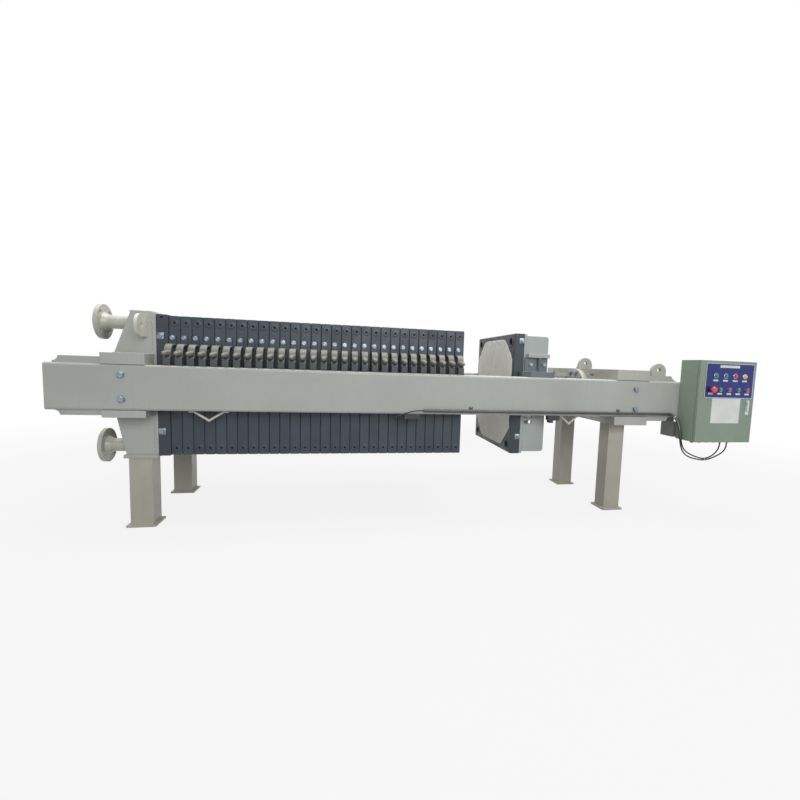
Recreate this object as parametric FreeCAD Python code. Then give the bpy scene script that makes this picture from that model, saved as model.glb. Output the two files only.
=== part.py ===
import FreeCAD, Part
import math
import os

# Plate filter press for 800 mm plates: a fixed feed head on the left, a pack of
# chamber plates hung between two box beams, a hydraulic pusher on the right and
# a control cabinet on the far end.  Millimetres, +X from feed head to ram,
# +Y to the back, +Z up.  Everything is laid out from the contact face between
# feed head and head plate (x = 0) and the centre line of the ram (y = 0).

V = FreeCAD.Vector

# ---------------------------------------------------------------- driving sizes
PLATE = 800.0            # side of a filter plate
PLATE_T = 60.0           # thickness of one plate
PLATES = 29              # chamber plates in the pack
HEAD_PLATE_T = 65.0      # thick end plate against the feed head
TAIL_PLATE_T = 70.0      # thick end plate on the pusher
END_PLATE_OVER = 5.0     # end plates stand this much past the pack all round
PLATE_BEVEL = 4.0
OPEN_GAP = 349.0         # from the pack to the tail plate as shown
AXIS_Z = 820.0           # height of the ram centre line
FEED_R = 33.0            # bore of every process pipe
PIPE_R = 38.0            # outside radius of every process pipe
PORT_Y = 335.0           # corner ports, from the centre line
PORT_Z = 352.0
SEAT = 0.3               # clearance where pieces are only seated
FIT = 0.08               # radial clearance of a running fit

BEAM_H = 250.0           # box beam section
BEAM_W = 120.0
BEAM_WALL = 10.0
BEAM_R = 14.0            # outer corner radius
BEAM_L = 3832.0
BEAM_TAIL = 486.0        # beam end behind the contact face
BEAM_BELOW = 130.0       # underside of the beam below the ram centre line
BEAM_SPLAY = 18.0        # plate edge to inner face of the beam
STRIP_W = 60.0           # shear strips welded on the beam
STRIP_TOP = 37.0
STRIP_BOT = 28.0
STRIP_END = 36.0         # strip starts this far from the feed end of the beam
STRIP_RAM_TOP = 8.0      # and this far from the ram end, top and bottom
STRIP_RAM_BOT = 54.0
COPE_R = 27.0            # hollow round at the end of each strip
COPE_LONG_R = 66.0       # long hollow at the ram end of the upper strip
COPE_LONG_L = 55.0

THRUST_T = 20.0          # feed head weldment
WEB_T = 20.0
HEAD_TOP = 405.0         # head half height above and below the centre line
HEAD_BASE = 418.0
THRUST_OVER = 6.0        # thrust plate above the top plate's underside
WEB_TOP = 130.0          # depth of the side webs at the top, beam and base
WEB_WAIST = 214.0
WEB_BASE = 166.0
RIB_Y = 150.0
PAD_L = 200.0
TOP_T = 15.0
BASE_T = 18.0
BASE_OVER = 12.0
FEED_BLOCK_L = 212.0     # clamp blocks over and under the beams
FEED_BLOCK_TOP = 60.0
FEED_BLOCK_BOT = 39.0
BLOCK_BACK = 12.0        # block stands back from the contact face
EAR_T = 16.0
EAR_R = 61.0
EAR_REACH = 137.0
EAR_HOLE = 14.0

FLANGE_R = 97.5          # pipe flanges
FLANGE_T = 20.0
FLANGE_X = -300.0        # sealing face of every flange
FLANGE_PCD_R = 75.0
FLANGE_HOLE_R = 9.0
HUB_R = 54.0
HUB_L = 26.0

LEG = 120.0              # square tube legs
LEG_WALL = 8.0
LEG_Y = 353.0            # leg centre from the centre line
LEG_FEED_X = -91.0
FOOT_X = 154.0
FOOT_Y = 160.0
FOOT_T = 12.0
ANCHOR_R = 5.5
RAM_LEG_IN = 105.0       # ram leg centre from the front of the ram head

RAM_BACK = 496.0         # front face of the ram head from the beam end
RAM_L = 250.0
RAM_PLATE_T = 25.0
RAM_TOP = 70.0           # ram head above the beam
RAM_BOT = 58.0           # ram head below the beam
RAM_BLOCK_L = 250.0
WINDOW_IN = 190.0        # slots in the ram head plate
WINDOW_OUT = 440.0
WINDOW_H = 26.0
WINDOW_UP = 9.0
BARREL_R = 110.0         # hydraulic cylinder
BORE_R = 90.0
BARREL_L = 610.0
CAP_T = 25.0
RAM_FLANGE_R = 186.0
RAM_FLANGE_T = 37.0
ROD_R = 45.0
PISTON_T = 40.0
PISTON_IN = 440.0        # piston from the front face of the ram head

LUG_T = 25.0             # lifting lugs on the ram end
LUG_R = 56.0
LUG_H = 84.0
LUG_HOLE = 15.0
LUG_BACK = 169.0         # lug centre from the beam end

PRESS_FACE_T = 18.0      # pusher weldment
PRESS_DEPTH = 156.0
PRESS_WALL = 20.0
PRESS_HALF = 404.0
PRESS_BOX = 392.0
PRESS_R = 20.0
SEAT_R = 95.0            # boss that takes the rod end
SHELF_OUT = 42.0
SHELF_T = 26.0
SHELF_UP = 248.0
CARRIER_T = 12.0
SHOE_L = 205.0
SHOE_T = 35.0
SHOE_CLEAR = 10.0        # shoe from the edge of the plates
SHOE_OUT = 528.0
CLOTH_T = 4.0

STRAP_T = 8.0            # plate handle
STRAP_TOP = 293.0        # strap top above the centre line
HANDLE_W = 37.0
HANDLE_SHIFT = -10.0
ARM_T = 12.0
ARM_Z = 242.0            # top of the arm above the centre line
ARM_OUT = 92.0           # arm reach from the plate edge
ARM_R = 50.0
HANDLE_FOOT_W = 42.0
HANDLE_FOOT_H = 45.0
KNOB_R = 16.0
KNOB_Z = 188.0
KNOB_L = 72.0

HOOK_R = 6.5             # bent rods under the beams that hold the drip tray
HOOK_DROP = 52.0
HOOK_FEED_X = 185.0
HOOK_FEED_L = 210.0
HOOK_RAM_BACK = 385.0    # hook from the front face of the ram head
HOOK_RAM_L = 155.0

CAB_W = 442.0            # control cabinet
CAB_H = 550.0
CAB_D = 155.0
CAB_BACK = 4.0           # cabinet starts this far before the beam end
CAB_Z = 543.0
CAB_WALL = 2.0
CAB_LIP = 18.0
STAY_T = 6.0             # plate of the cabinet bracket
DOOR_T = 20.0
DOOR_GAP = 3.0           # room for the door seal
HINGE_IN = 4.0           # pin centre from both faces at the door's corner
HINGE_UP = 90.0          # hinges from the top and bottom of the door
PIN_R = 2.2
EYE_H = 24.0
NOTCH_OVER = 3.0         # notch in the door past each end of the eye
NOTCH_D = 10.0
PANEL_W = 382.0
PANEL_H = 231.0
PANEL_T = 2.0
PANEL_X = 43.0           # panel from the hinge edge of the door
PANEL_Z = 302.0          # panel from the bottom of the door
LAMP_R = 12.5
LAMP_H = 12.0
LAMP_PITCH = 76.6
LAMP_X = 123.0
LAMP_Z = 450.0
BUTTON_R = 11.0
BUTTON_PITCH = 72.2
BUTTON_X = 163.0
BUTTON_Z = 358.0
RING_R = 15.0
RING_H = 9.0
CAP_OUT = 4.0
BUTTON_PLAY = 0.4
STOP_X = 89.0
STOP_R = 20.0
STOP_NECK_R = 11.0
STOP_H = 42.0
LATCH_W = 28.0
LATCH_H = 100.0
LATCH_X = 393.0
LATCH_Z = 190.0
LEVER_T = 8.0
GLANDS = 6
GLAND_R = 15.0
GLAND_NUT = 8.0
GLAND_L = 18.0
GLAND_PITCH = 58.0
GLAND_X = 68.0
CABLE_GLAND = 4          # the two cables enter this gland and the next

CONDUIT_R = 10.0
CLIP_T = 2.0             # saddle clip strip
CLIP_W = 24.0
CLIP_TAB = 18.0          # clip tab above the conduit
CLIP_FEED = 304.0        # clips from the open end and from the ram head
CLIP_RAM = 21.0
CONDUIT_UP = 24.0        # conduit above the beam's underside
CONDUIT_X = 1525.0
CONDUIT_BACK = 60.0      # conduit leaves the beam this far from its end
SWITCH_L = 96.0
SWITCH_H = 32.0
SWITCH_W = 40.0
SWITCH_IN = 10.0         # switches stand back from the beam's outer face
SWITCH_X = 1410.0
SWITCH_RAM_BACK = 484.0  # ram end switch from the front face of the ram head
SWITCH_RAM_L = 82.0
SWITCH_TIP = 26.0
SWITCH_GLAND_R = 6.0
SWITCH_GLAND_L = 8.0
SWITCH_GLAND_DOWN = 22.0
CABLE_R = 4.6            # cabinet cables
CABLE_OFF = 5.2          # cable centre from the conduit's centre line
LEAD_R = 3.0             # lead of the feed end switch

# ------------------------------------------------------------ places that follow
beam_z0 = AXIS_Z - BEAM_BELOW
beam_z1 = beam_z0 + BEAM_H
beam_in = PLATE / 2 + BEAM_SPLAY
beam_out = beam_in + BEAM_W
beam_x0 = -BEAM_TAIL
beam_x1 = beam_x0 + BEAM_L
ram_x0 = beam_x1 - RAM_BACK
cab_x0 = beam_x1 - CAB_BACK
pack_x0 = HEAD_PLATE_T
pack_x1 = pack_x0 + PLATES * PLATE_T
tail_x0 = pack_x1 + OPEN_GAP
tail_x1 = tail_x0 + TAIL_PLATE_T
ram_x1 = ram_x0 + RAM_L
end_half = PLATE / 2 + END_PLATE_OVER
door_y = -beam_out - CAB_D - DOOR_GAP  # back edge of the closed door
face_y = door_y - DOOR_T               # front face of the door


# ---------------------------------------------------------------------- helpers
def box(x0, x1, y0, y1, z0, z1):
    return Part.makeBox(x1 - x0, y1 - y0, z1 - z0, V(x0, y0, z0))


def rod(p, q, r):
    d = V(*q) - V(*p)
    return Part.makeCylinder(r, d.Length, V(*p), d)


def place(axis, at, u, v):
    return {"x": V(at, u, v), "y": V(u, at, v), "z": V(u, v, at)}[axis]


def outline(axis, at, corners):
    """Closed wire in the plane across one axis.  A corner is (u, v), or
    (u, v, r) with r > 0 for a rounded and r < 0 for a scooped corner."""
    n = len(corners)
    stops = []
    for i, c in enumerate(corners):
        p = V(c[0], c[1], 0)
        r = c[2] if len(c) > 2 else 0.0
        if not r:
            stops.append((p, None, p))
            continue
        a = (V(*corners[i - 1][:2], 0) - p).normalize()
        b = (V(*corners[(i + 1) % n][:2], 0) - p).normalize()
        half = a.getAngle(b) / 2
        way = (a + b).normalize()
        if r > 0:
            t = r / math.tan(half)
            mid = p + way * (r / math.sin(half) - r)
        else:
            t = -r
            mid = p + way * t
        stops.append((p + a * t, mid, p + b * t))
    edges = []
    for i, (start, mid, end) in enumerate(stops):
        if mid is not None:
            edges.append(Part.Arc(*(place(axis, at, q.x, q.y) for q in (start, mid, end))).toShape())
        nxt = stops[(i + 1) % n][0]
        if (nxt - end).Length > 1e-6:
            edges.append(Part.LineSegment(place(axis, at, end.x, end.y), place(axis, at, nxt.x, nxt.y)).toShape())
    return Part.Wire(edges)


def prism(axis, a, b, corners):
    face = Part.Face(outline(axis, a, corners))
    return face.extrude(place(axis, b, 0, 0) - place(axis, a, 0, 0))


def turned(origin, axis, profile):
    """Solid of revolution about a coordinate axis through origin; the profile
    is (distance along the axis, radius) corners."""
    o, d = V(*origin), V(*axis)
    side = V(1, 0, 0) if axis[2] else V(0, 0, 1)
    pts = [o + d * s + side * r for s, r in profile]
    return Part.Face(Part.makePolygon(pts + pts[:1])).revolve(o, d, 360)


def rect(u0, u1, v0, v1, r=0.0):
    return [(u0, v0, r), (u1, v0, r), (u1, v1, r), (u0, v1, r)]


def back(shape):
    """The same piece on the other side of the centre line."""
    return shape.mirror(V(0, 0, 0), V(0, 1, 0))


def both(shape):
    return [shape, back(shape)]


def fuse(first, *rest):
    return first.multiFuse([s for s in rest]).removeSplitter()


def smooth_route(points, r):
    """Tube of radius r along straight runs joined by the largest tangent
    arcs that the runs leave room for; returns the solid, its length, radii."""
    p = [V(*q) for q in points]
    edges, at, length, radii = [], p[0], 0.0, []
    for i in range(1, len(p) - 1):
        a, b = p[i - 1] - p[i], p[i + 1] - p[i]
        shorter = min(a.Length, b.Length)
        turn = math.pi - a.getAngle(b)
        rad = 0.45 * shorter / math.tan(turn / 2)
        radii.append(rad)
        a.normalize()
        b.normalize()
        t = 0.45 * shorter
        way = (a + b).normalize()
        t0, t1 = p[i] + a * t, p[i] + b * t
        mid = p[i] + way * (rad / math.cos(turn / 2) - rad)
        edges += [Part.LineSegment(at, t0).toShape(), Part.Arc(t0, mid, t1).toShape()]
        length += (t0 - at).Length + rad * turn
        at = t1
    edges.append(Part.LineSegment(at, p[-1]).toShape())
    length += (p[-1] - at).Length
    wire = Part.Wire(edges)
    ring = Part.Wire(Part.Circle(p[0], p[1] - p[0], r).toShape())
    tube = wire.makePipeShell([ring], True, True, 2)
    return tube, length, radii


nodes = {}

# ------------------------------------------------------------------------ beams
# Rectangular hollow sections with shear strips top and bottom at both ends,
# each strip ending in a hollow quarter round near the beam end.
strip_y1 = beam_out - BEAM_R
strip_y0 = strip_y1 - STRIP_W
strip_mid_y = -(strip_y0 + strip_y1) / 2
feed_block_x0 = -BLOCK_BACK - FEED_BLOCK_L
ram_block_x1 = ram_x0 + RAM_BLOCK_L


def strip(far, end, z0, z1):
    """Strip welded on the beam at z0 with its free face at z1, scooped at the
    end that faces the beam end."""
    return prism("y", -strip_y1, -strip_y0, [(far, z0), (end, z0), (end, z1, -COPE_R), (far, z1)])


def long_strip(far, end, z0, z1):
    """The same with a long hollow that runs out on the beam."""
    blank = box(far, end, -strip_y1, -strip_y0, z0, z1)
    hollow = rod((end, -strip_y1 - 1, z0 + COPE_LONG_R), (end, -strip_y0 + 1, z0 + COPE_LONG_R), COPE_LONG_R)
    lip = box(end - COPE_LONG_L, end + 1, -strip_y1 - 1, -strip_y0 + 1, z0 + COPE_R, z1 + 1)
    return blank.cut(hollow).cut(lip)


beam = prism("x", beam_x0, beam_x1, rect(-beam_out, -beam_in, beam_z0, beam_z1, BEAM_R))
beam = beam.cut(prism("x", beam_x0 - 1, beam_x1 + 1,
                      rect(-beam_out + BEAM_WALL, -beam_in - BEAM_WALL, beam_z0 + BEAM_WALL, beam_z1 - BEAM_WALL)))
feed_strip = beam_x0 + STRIP_END
beam = fuse(beam,
            strip(feed_block_x0, feed_strip, beam_z1, beam_z1 + STRIP_TOP),
            strip(feed_block_x0, feed_strip, beam_z0, beam_z0 - STRIP_BOT),
            long_strip(ram_block_x1, beam_x1 - STRIP_RAM_TOP, beam_z1, beam_z1 + STRIP_TOP),
            strip(ram_block_x1, beam_x1 - STRIP_RAM_BOT, beam_z0, beam_z0 - STRIP_BOT))
nodes["beam_front"] = [beam]
nodes["beam_back"] = [back(beam)]

# -------------------------------------------------------------------- feed head
# Thrust plate backed by two tapered side webs and two inner ribs, closed by a
# top and a base plate; blocks over and under each beam carry the thrust into
# the strips, and a pad stands between each web and its beam.
head_z1 = AXIS_Z + HEAD_TOP
head_z0 = AXIS_Z - HEAD_BASE
plate_z0 = head_z0 + BASE_T
half = PLATE / 2
web_shape = [(-THRUST_T, plate_z0), (-WEB_BASE, plate_z0), (-WEB_WAIST, beam_z0 - FEED_BLOCK_BOT),
             (-WEB_WAIST, beam_z1 + FEED_BLOCK_TOP), (-WEB_TOP, head_z1), (-THRUST_T, head_z1)]
thrust = box(-THRUST_T, 0, -half, half, plate_z0, head_z1 + THRUST_OVER)
ports = [(0.0, AXIS_Z)] + [(sy * PORT_Y, AXIS_Z + sz * PORT_Z) for sy in (-1, 1) for sz in (-1, 1)]
for y, z in ports:
    thrust = thrust.cut(rod((-THRUST_T - 1, y, z), (1, y, z), PIPE_R + SEAT))
nodes["thrust_plate"] = [thrust]
web = prism("y", -half, -half + WEB_T, web_shape)
rib = prism("y", -RIB_Y - WEB_T / 2, -RIB_Y + WEB_T / 2, web_shape)
nodes["feed_head_webs"] = both(web) + both(rib)
pad = box(-PAD_L, -2 * THRUST_T, -beam_in, -half, beam_z0 + BEAM_R, beam_z1 - BEAM_R)
block_top = box(feed_block_x0, -BLOCK_BACK, -beam_out, -half, beam_z1, beam_z1 + FEED_BLOCK_TOP)
block_bot = box(feed_block_x0, -BLOCK_BACK, -beam_out, -half, beam_z0 - FEED_BLOCK_BOT, beam_z0)
nodes["feed_head_blocks"] = both(block_top) + both(block_bot) + both(pad)
top_plate = prism("x", -WEB_TOP, -THRUST_T, rect(-half, half, head_z1, head_z1 + TOP_T))
base_plate = box(-WEB_BASE - BASE_OVER, -8, -half - BASE_OVER, half + BASE_OVER, head_z0, plate_z0)
nodes["feed_head_covers"] = [top_plate, base_plate]

# Lifting ears: half-round plates across the side webs of the feed head.
ear_x = -45.0
ear_z = head_z1 - EAR_R - 8
ear = prism("x", ear_x - EAR_T, ear_x, [
    (-half, ear_z - EAR_R), (-half - EAR_REACH, ear_z - EAR_R, EAR_R), (-half - EAR_REACH, ear_z + EAR_R, EAR_R - 0.01), (-half, ear_z + EAR_R)])
ear = ear.cut(rod((ear_x - EAR_T - 1, -half - EAR_REACH + EAR_R, ear_z), (ear_x + 1, -half - EAR_REACH + EAR_R, ear_z), EAR_HOLE))
nodes["feed_lifting_ears"] = both(ear)

# ------------------------------------------------------------------------- legs
# Square tubes on foot plates; the feed legs stop at the base plate and the ram
# legs at the sill of the ram head.


def leg(x, top):
    tube = box(x - LEG / 2, x + LEG / 2, -LEG_Y - LEG / 2, -LEG_Y + LEG / 2, FOOT_T, top)
    tube = tube.cut(box(x - LEG / 2 + LEG_WALL, x + LEG / 2 - LEG_WALL, -LEG_Y - LEG / 2 + LEG_WALL, -LEG_Y + LEG / 2 - LEG_WALL, FOOT_T - 1, top + 1))
    foot = prism("z", 0, FOOT_T, rect(x - FOOT_X / 2, x + FOOT_X / 2, -LEG_Y - FOOT_Y / 2, -LEG_Y + FOOT_Y / 2))
    for dx in (-1, 1):
        hole_x = x + dx * (FOOT_X + LEG) / 4
        foot = foot.cut(rod((hole_x, -LEG_Y, -1), (hole_x, -LEG_Y, FOOT_T + 1), ANCHOR_R))
    return fuse(tube, foot)


ram_leg_x = ram_x0 + RAM_LEG_IN
sill_z = beam_z0 - RAM_BOT
nodes["feed_legs"] = both(leg(LEG_FEED_X, head_z0))
nodes["ram_legs"] = both(leg(ram_leg_x, sill_z))

# ------------------------------------------------------------------------ pipes
# Weld-neck flanged pipes: four filtrate outlets and the central feed.


def process_pipe(y, z):
    long = -FLANGE_X
    pipe = turned((FLANGE_X, y, z), (1, 0, 0), [
        (0, FEED_R), (0, FLANGE_R), (FLANGE_T, FLANGE_R), (FLANGE_T, HUB_R), (FLANGE_T + HUB_L, PIPE_R), (long, PIPE_R), (long, FEED_R)])
    for k in range(4):
        a = math.radians(45 + 90 * k)
        hy, hz = y + FLANGE_PCD_R * math.cos(a), z + FLANGE_PCD_R * math.sin(a)
        pipe = pipe.cut(rod((FLANGE_X - 1, hy, hz), (FLANGE_X + FLANGE_T + 1, hy, hz), FLANGE_HOLE_R))
    return pipe


nodes["feed_pipe"] = [process_pipe(*ports[0])]
nodes["outlet_pipes"] = [process_pipe(*p) for p in ports[1:]]

# ------------------------------------------------------------------- plate pack


def plate(x0, t, side, bores, bevel):
    """Square plate across the beams with bevelled rims and through bores."""
    s = box(x0, x0 + t, -side, side, AXIS_Z - side, AXIS_Z + side)
    rims = [e for e in s.Edges if abs(e.BoundBox.XLength) < 1e-6]
    s = s.makeChamfer(bevel, rims)
    for y, z, r in bores:
        s = s.cut(rod((x0 - 1, y, z), (x0 + t + 1, y, z), r))
    return s


port_bores = [(y, z, FEED_R) for y, z in ports]
nodes["head_plate"] = [plate(0, HEAD_PLATE_T, end_half, port_bores, PLATE_BEVEL)]
one = plate(0, PLATE_T, PLATE / 2, [(0, AXIS_Z, FEED_R)], PLATE_BEVEL)
pack = []
for k in range(PLATES):
    s = one.copy()
    s.translate(V(pack_x0 + k * PLATE_T, 0, 0))
    pack.append(s)
nodes["filter_plates_odd"] = pack[0::2]
nodes["filter_plates_even"] = pack[1::2]

# Plate handles: a strap bolted to the plate edge, an arm that bows out over
# the beam, an eight-sided knob for the hand and a foot that rides on the beam.
edge = -PLATE / 2
arm_y = edge - ARM_OUT
foot_c = arm_y + ARM_T / 2 - 4
foot_z = beam_z1
side_line = [
    (edge, AXIS_Z + STRAP_TOP), (edge - STRAP_T, AXIS_Z + STRAP_TOP), (edge - STRAP_T, AXIS_Z + ARM_Z),
    (arm_y, AXIS_Z + ARM_Z, ARM_R), (arm_y, foot_z + HANDLE_FOOT_H), (foot_c - HANDLE_FOOT_W / 2, foot_z + HANDLE_FOOT_H),
    (foot_c - HANDLE_FOOT_W / 2, foot_z), (foot_c + HANDLE_FOOT_W / 2, foot_z), (foot_c + HANDLE_FOOT_W / 2, foot_z + HANDLE_FOOT_H),
    (arm_y + ARM_T, foot_z + HANDLE_FOOT_H), (arm_y + ARM_T, AXIS_Z + ARM_Z - ARM_T, ARM_R - ARM_T),
    (edge, AXIS_Z + ARM_Z - ARM_T)]
grip = prism("x", -HANDLE_W / 2, HANDLE_W / 2, side_line)
knob = prism("y", arm_y + ARM_T / 2 - KNOB_L, arm_y + ARM_T / 2, [
    (KNOB_R * math.cos(math.pi * (2 * k + 1) / 8), AXIS_Z + KNOB_Z + KNOB_R * math.sin(math.pi * (2 * k + 1) / 8)) for k in range(8)])
grip = fuse(grip, knob)
grips = []
for k in range(PLATES):
    s = grip.copy()
    s.translate(V(pack_x0 + (k + 0.5) * PLATE_T + HANDLE_SHIFT, 0, 0))
    grips.append(s)
nodes["plate_handles_front"] = grips
nodes["plate_handles_back"] = [back(s) for s in grips]

# --------------------------------------------------------------------- ram head
# Two cross plates joined by side plates and a sill; the front plate has a slot
# each side of the cylinder and laps over both beams.
ram_top = beam_z1 + RAM_TOP
cross_shape = [(-beam_out, beam_z1), (-beam_in, beam_z1), (-beam_in, beam_z0), (-beam_out, beam_z0), (-beam_out, sill_z),
               (beam_out, sill_z), (beam_out, beam_z0), (beam_in, beam_z0), (beam_in, beam_z1), (beam_out, beam_z1),
               (beam_out, ram_top), (-beam_out, ram_top)]
front_plate = prism("x", ram_x0, ram_x0 + RAM_PLATE_T, cross_shape)
window = prism("x", ram_x0 - 1, ram_x0 + RAM_PLATE_T + 1,
               rect(-WINDOW_OUT, -WINDOW_IN, beam_z1 + WINDOW_UP, beam_z1 + WINDOW_UP + WINDOW_H, 10))
front_plate = front_plate.cut(window).cut(back(window))
rear_plate = prism("x", ram_x1 - RAM_PLATE_T, ram_x1, cross_shape)
side_top = box(ram_x0, ram_block_x1, -beam_out, -beam_out + 40, beam_z1, ram_top)
side_mid = box(ram_x0, ram_x1, -beam_in, -beam_in + WEB_T, beam_z0, beam_z1)
side_bot = box(ram_x0, ram_block_x1, -beam_out, -beam_out + 40, sill_z, beam_z0)
sill = box(ram_x0, ram_x1, -beam_out + 40, beam_out - 40, sill_z, sill_z + 16)
ram_head = fuse(front_plate, rear_plate, *both(side_top), *both(side_mid), *both(side_bot), sill)
ram_head = ram_head.cut(rod((ram_x0 - 1, 0, AXIS_Z), (ram_x1 + 1, 0, AXIS_Z), BARREL_R + SEAT))
nodes["ram_head"] = [ram_head]

# Hydraulic cylinder: front flange with rod gland, barrel and rear cap.
ram = turned((ram_x0, 0, AXIS_Z), (1, 0, 0), [
    (-RAM_FLANGE_T, ROD_R + FIT), (-RAM_FLANGE_T, RAM_FLANGE_R), (0, RAM_FLANGE_R), (0, BARREL_R), (BARREL_L, BARREL_R), (BARREL_L, 0),
    (BARREL_L - CAP_T, 0), (BARREL_L - CAP_T, BORE_R), (CAP_T, BORE_R), (CAP_T, ROD_R + FIT)])
nodes["ram_cylinder"] = [ram]

# Lifting lugs on the ram end: one on each beam strip and one over the flange.


def lug(x, y, z):
    s = prism("y", y - LUG_T / 2, y + LUG_T / 2, [
        (x - LUG_R, z), (x + LUG_R, z), (x + LUG_R, z + LUG_H, LUG_R - 0.01), (x - LUG_R, z + LUG_H, LUG_R - 0.01)])
    c = z + LUG_H - LUG_R + 12
    return s.cut(rod((x, y - LUG_T, c), (x, y + LUG_T, c), LUG_HOLE))


lug_x = beam_x1 - LUG_BACK
nodes["ram_lifting_lugs"] = [lug(lug_x, -strip_y1 + LUG_T / 2, beam_z1 + STRIP_TOP), lug(lug_x, strip_y1 - LUG_T / 2, beam_z1 + STRIP_TOP),
                             lug(ram_x0 + LUG_R + 2, 0, ram_top)]

# ----------------------------------------------------------------------- pusher
# Pressing plate: face plate, box sides with rounded outer corners, a grid of
# ribs open to the back and a boss that takes the rod.
face_x1 = tail_x1 + PRESS_FACE_T
press_x1 = face_x1 + PRESS_DEPTH
z0, z1 = AXIS_Z - PRESS_BOX, AXIS_Z + PRESS_BOX
face_plate = box(tail_x1, face_x1, -half, half, AXIS_Z - PRESS_HALF, AXIS_Z + PRESS_HALF)
cheek = prism("y", -half, -half + PRESS_WALL, [(face_x1, z0), (press_x1, z0, PRESS_R), (press_x1, z1, PRESS_R), (face_x1, z1)])
cheek = cheek.cut(prism("y", -half - 1, -half + PRESS_WALL + 1, rect(face_x1 + 8, face_x1 + 64, beam_z0 - 70, beam_z0 + 10)))
lid = box(face_x1, press_x1 - PRESS_R, -half, half, z1 - PRESS_WALL, z1)
floor = box(face_x1, press_x1 - PRESS_R, -half, half, z0, z0 + PRESS_WALL)
ribs = [box(face_x1, press_x1 - PRESS_R, y - 8, y + 8, z0, z1) for y in (-170, 170)]
ribs += [box(face_x1, press_x1 - PRESS_R, -half, half, AXIS_Z + z - 8, AXIS_Z + z + 8) for z in (-170, 170)]
boss = rod((face_x1, 0, AXIS_Z), (press_x1, 0, AXIS_Z), SEAT_R)
shelf = prism("x", face_x1, press_x1 - 4, rect(-half - SHELF_OUT, -half + 5, AXIS_Z + SHELF_UP, AXIS_Z + SHELF_UP + SHELF_T, 2))
press = fuse(face_plate, *both(cheek), lid, floor, *ribs, boss, *both(shelf))
nodes["pressing_plate"] = [press]

# Carriers: a bracket bolted to the cheek, a slanted rib and a shoe that slides
# on the beam.
shoe_x0 = face_x1 - 50
shoe_x1 = shoe_x0 + SHOE_L
shoe_z0 = beam_z1 + SEAT
bracket = box(face_x1 - 12, press_x1 - 6, -half - CARRIER_T, -half, shoe_z0, AXIS_Z + SHELF_UP)
shoe_in = -half - SHOE_CLEAR
shoe = prism("z", shoe_z0, shoe_z0 + SHOE_T, [
    (shoe_x0 + 38, -SHOE_OUT), (shoe_x1, -SHOE_OUT, 14), (shoe_x1, shoe_in), (shoe_x0, shoe_in), (shoe_x0, -SHOE_OUT + 60)])
gusset = prism("x", face_x1 + 76, face_x1 + 92, [
    (-half - CARRIER_T, AXIS_Z + SHELF_UP), (-half - SHELF_OUT, AXIS_Z + SHELF_UP), (-half - CARRIER_T - 4, shoe_z0 + SHOE_T), (-half - CARRIER_T, shoe_z0 + SHOE_T)])
carrier = fuse(bracket, shoe, gusset)
nodes["slide_carriers"] = both(carrier)

# Tail plate with corner ports, and the cloth on its face.
nodes["tail_plate"] = [plate(tail_x0, TAIL_PLATE_T, end_half, [(y, z, FEED_R * 0.75) for y, z in ports[1:]], PLATE_BEVEL)]
cut = 375.0
cloth = prism("x", tail_x0 - CLOTH_T, tail_x0, [
    (-PORT_Y + 95, AXIS_Z - cut, 20), (PORT_Y - 95, AXIS_Z - cut, 20), (cut, AXIS_Z - PORT_Z + 120, 40), (cut, AXIS_Z + PORT_Z - 120, 40),
    (PORT_Y - 95, AXIS_Z + cut, 20), (-PORT_Y + 95, AXIS_Z + cut, 20), (-cut, AXIS_Z + PORT_Z - 120, 40), (-cut, AXIS_Z - PORT_Z + 120, 40)])
nodes["filter_cloth"] = [cloth]

# Piston rod with its piston inside the cylinder.
piston_x = ram_x0 + PISTON_IN
piston = turned((press_x1, 0, AXIS_Z), (1, 0, 0), [
    (0, 0), (0, ROD_R), (piston_x - press_x1, ROD_R), (piston_x - press_x1, BORE_R - FIT), (piston_x - press_x1 + PISTON_T, BORE_R - FIT),
    (piston_x - press_x1 + PISTON_T, 0)])
nodes["piston_rod"] = [piston]

# ------------------------------------------------- tray hooks, switches, conduit


def hook(x0, length):
    y = -(beam_in + beam_out) / 2
    z = beam_z0 - HOOK_R
    pts = [(x0, y, z), (x0 + length * 0.12, y, z), (x0 + length * 0.5, y, z - HOOK_DROP), (x0 + length * 0.88, y, z), (x0 + length, y, z)]
    path = Part.makePolygon([V(*p) for p in pts])
    ring = Part.Wire(Part.Circle(V(*pts[0]), V(1, 0, 0), HOOK_R).toShape())
    return path.makePipeShell([ring], True, True, 1)


hooks = [hook(HOOK_FEED_X, HOOK_FEED_L), hook(ram_x0 - HOOK_RAM_BACK, HOOK_RAM_L)]
nodes["tray_hooks"] = hooks + [back(h) for h in hooks]

sw_y = -beam_out + SWITCH_IN
sw_mid_y = sw_y + SWITCH_W / 2
sw_z = beam_z0 - SWITCH_GLAND_DOWN
switch = prism("y", sw_y, sw_y + SWITCH_W, rect(SWITCH_X, SWITCH_X + SWITCH_L, beam_z0 - SWITCH_H, beam_z0, 5))
switch = fuse(switch, rod((SWITCH_X - SWITCH_GLAND_L, sw_mid_y, sw_z), (SWITCH_X, sw_mid_y, sw_z), SWITCH_GLAND_R))
nodes["limit_switch_feed"] = [switch]
far_x = ram_x0 - SWITCH_RAM_BACK
sensor = fuse(prism("y", sw_y, sw_y + SWITCH_W, rect(far_x, far_x + SWITCH_RAM_L, beam_z0 - SWITCH_H, beam_z0, 5)),
              box(far_x + 10, far_x + 10 + SWITCH_TIP, sw_y, sw_y + SWITCH_W, beam_z0 - SWITCH_H - 16, beam_z0 - SWITCH_H))
nodes["limit_switch_ram"] = [sensor]

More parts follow.
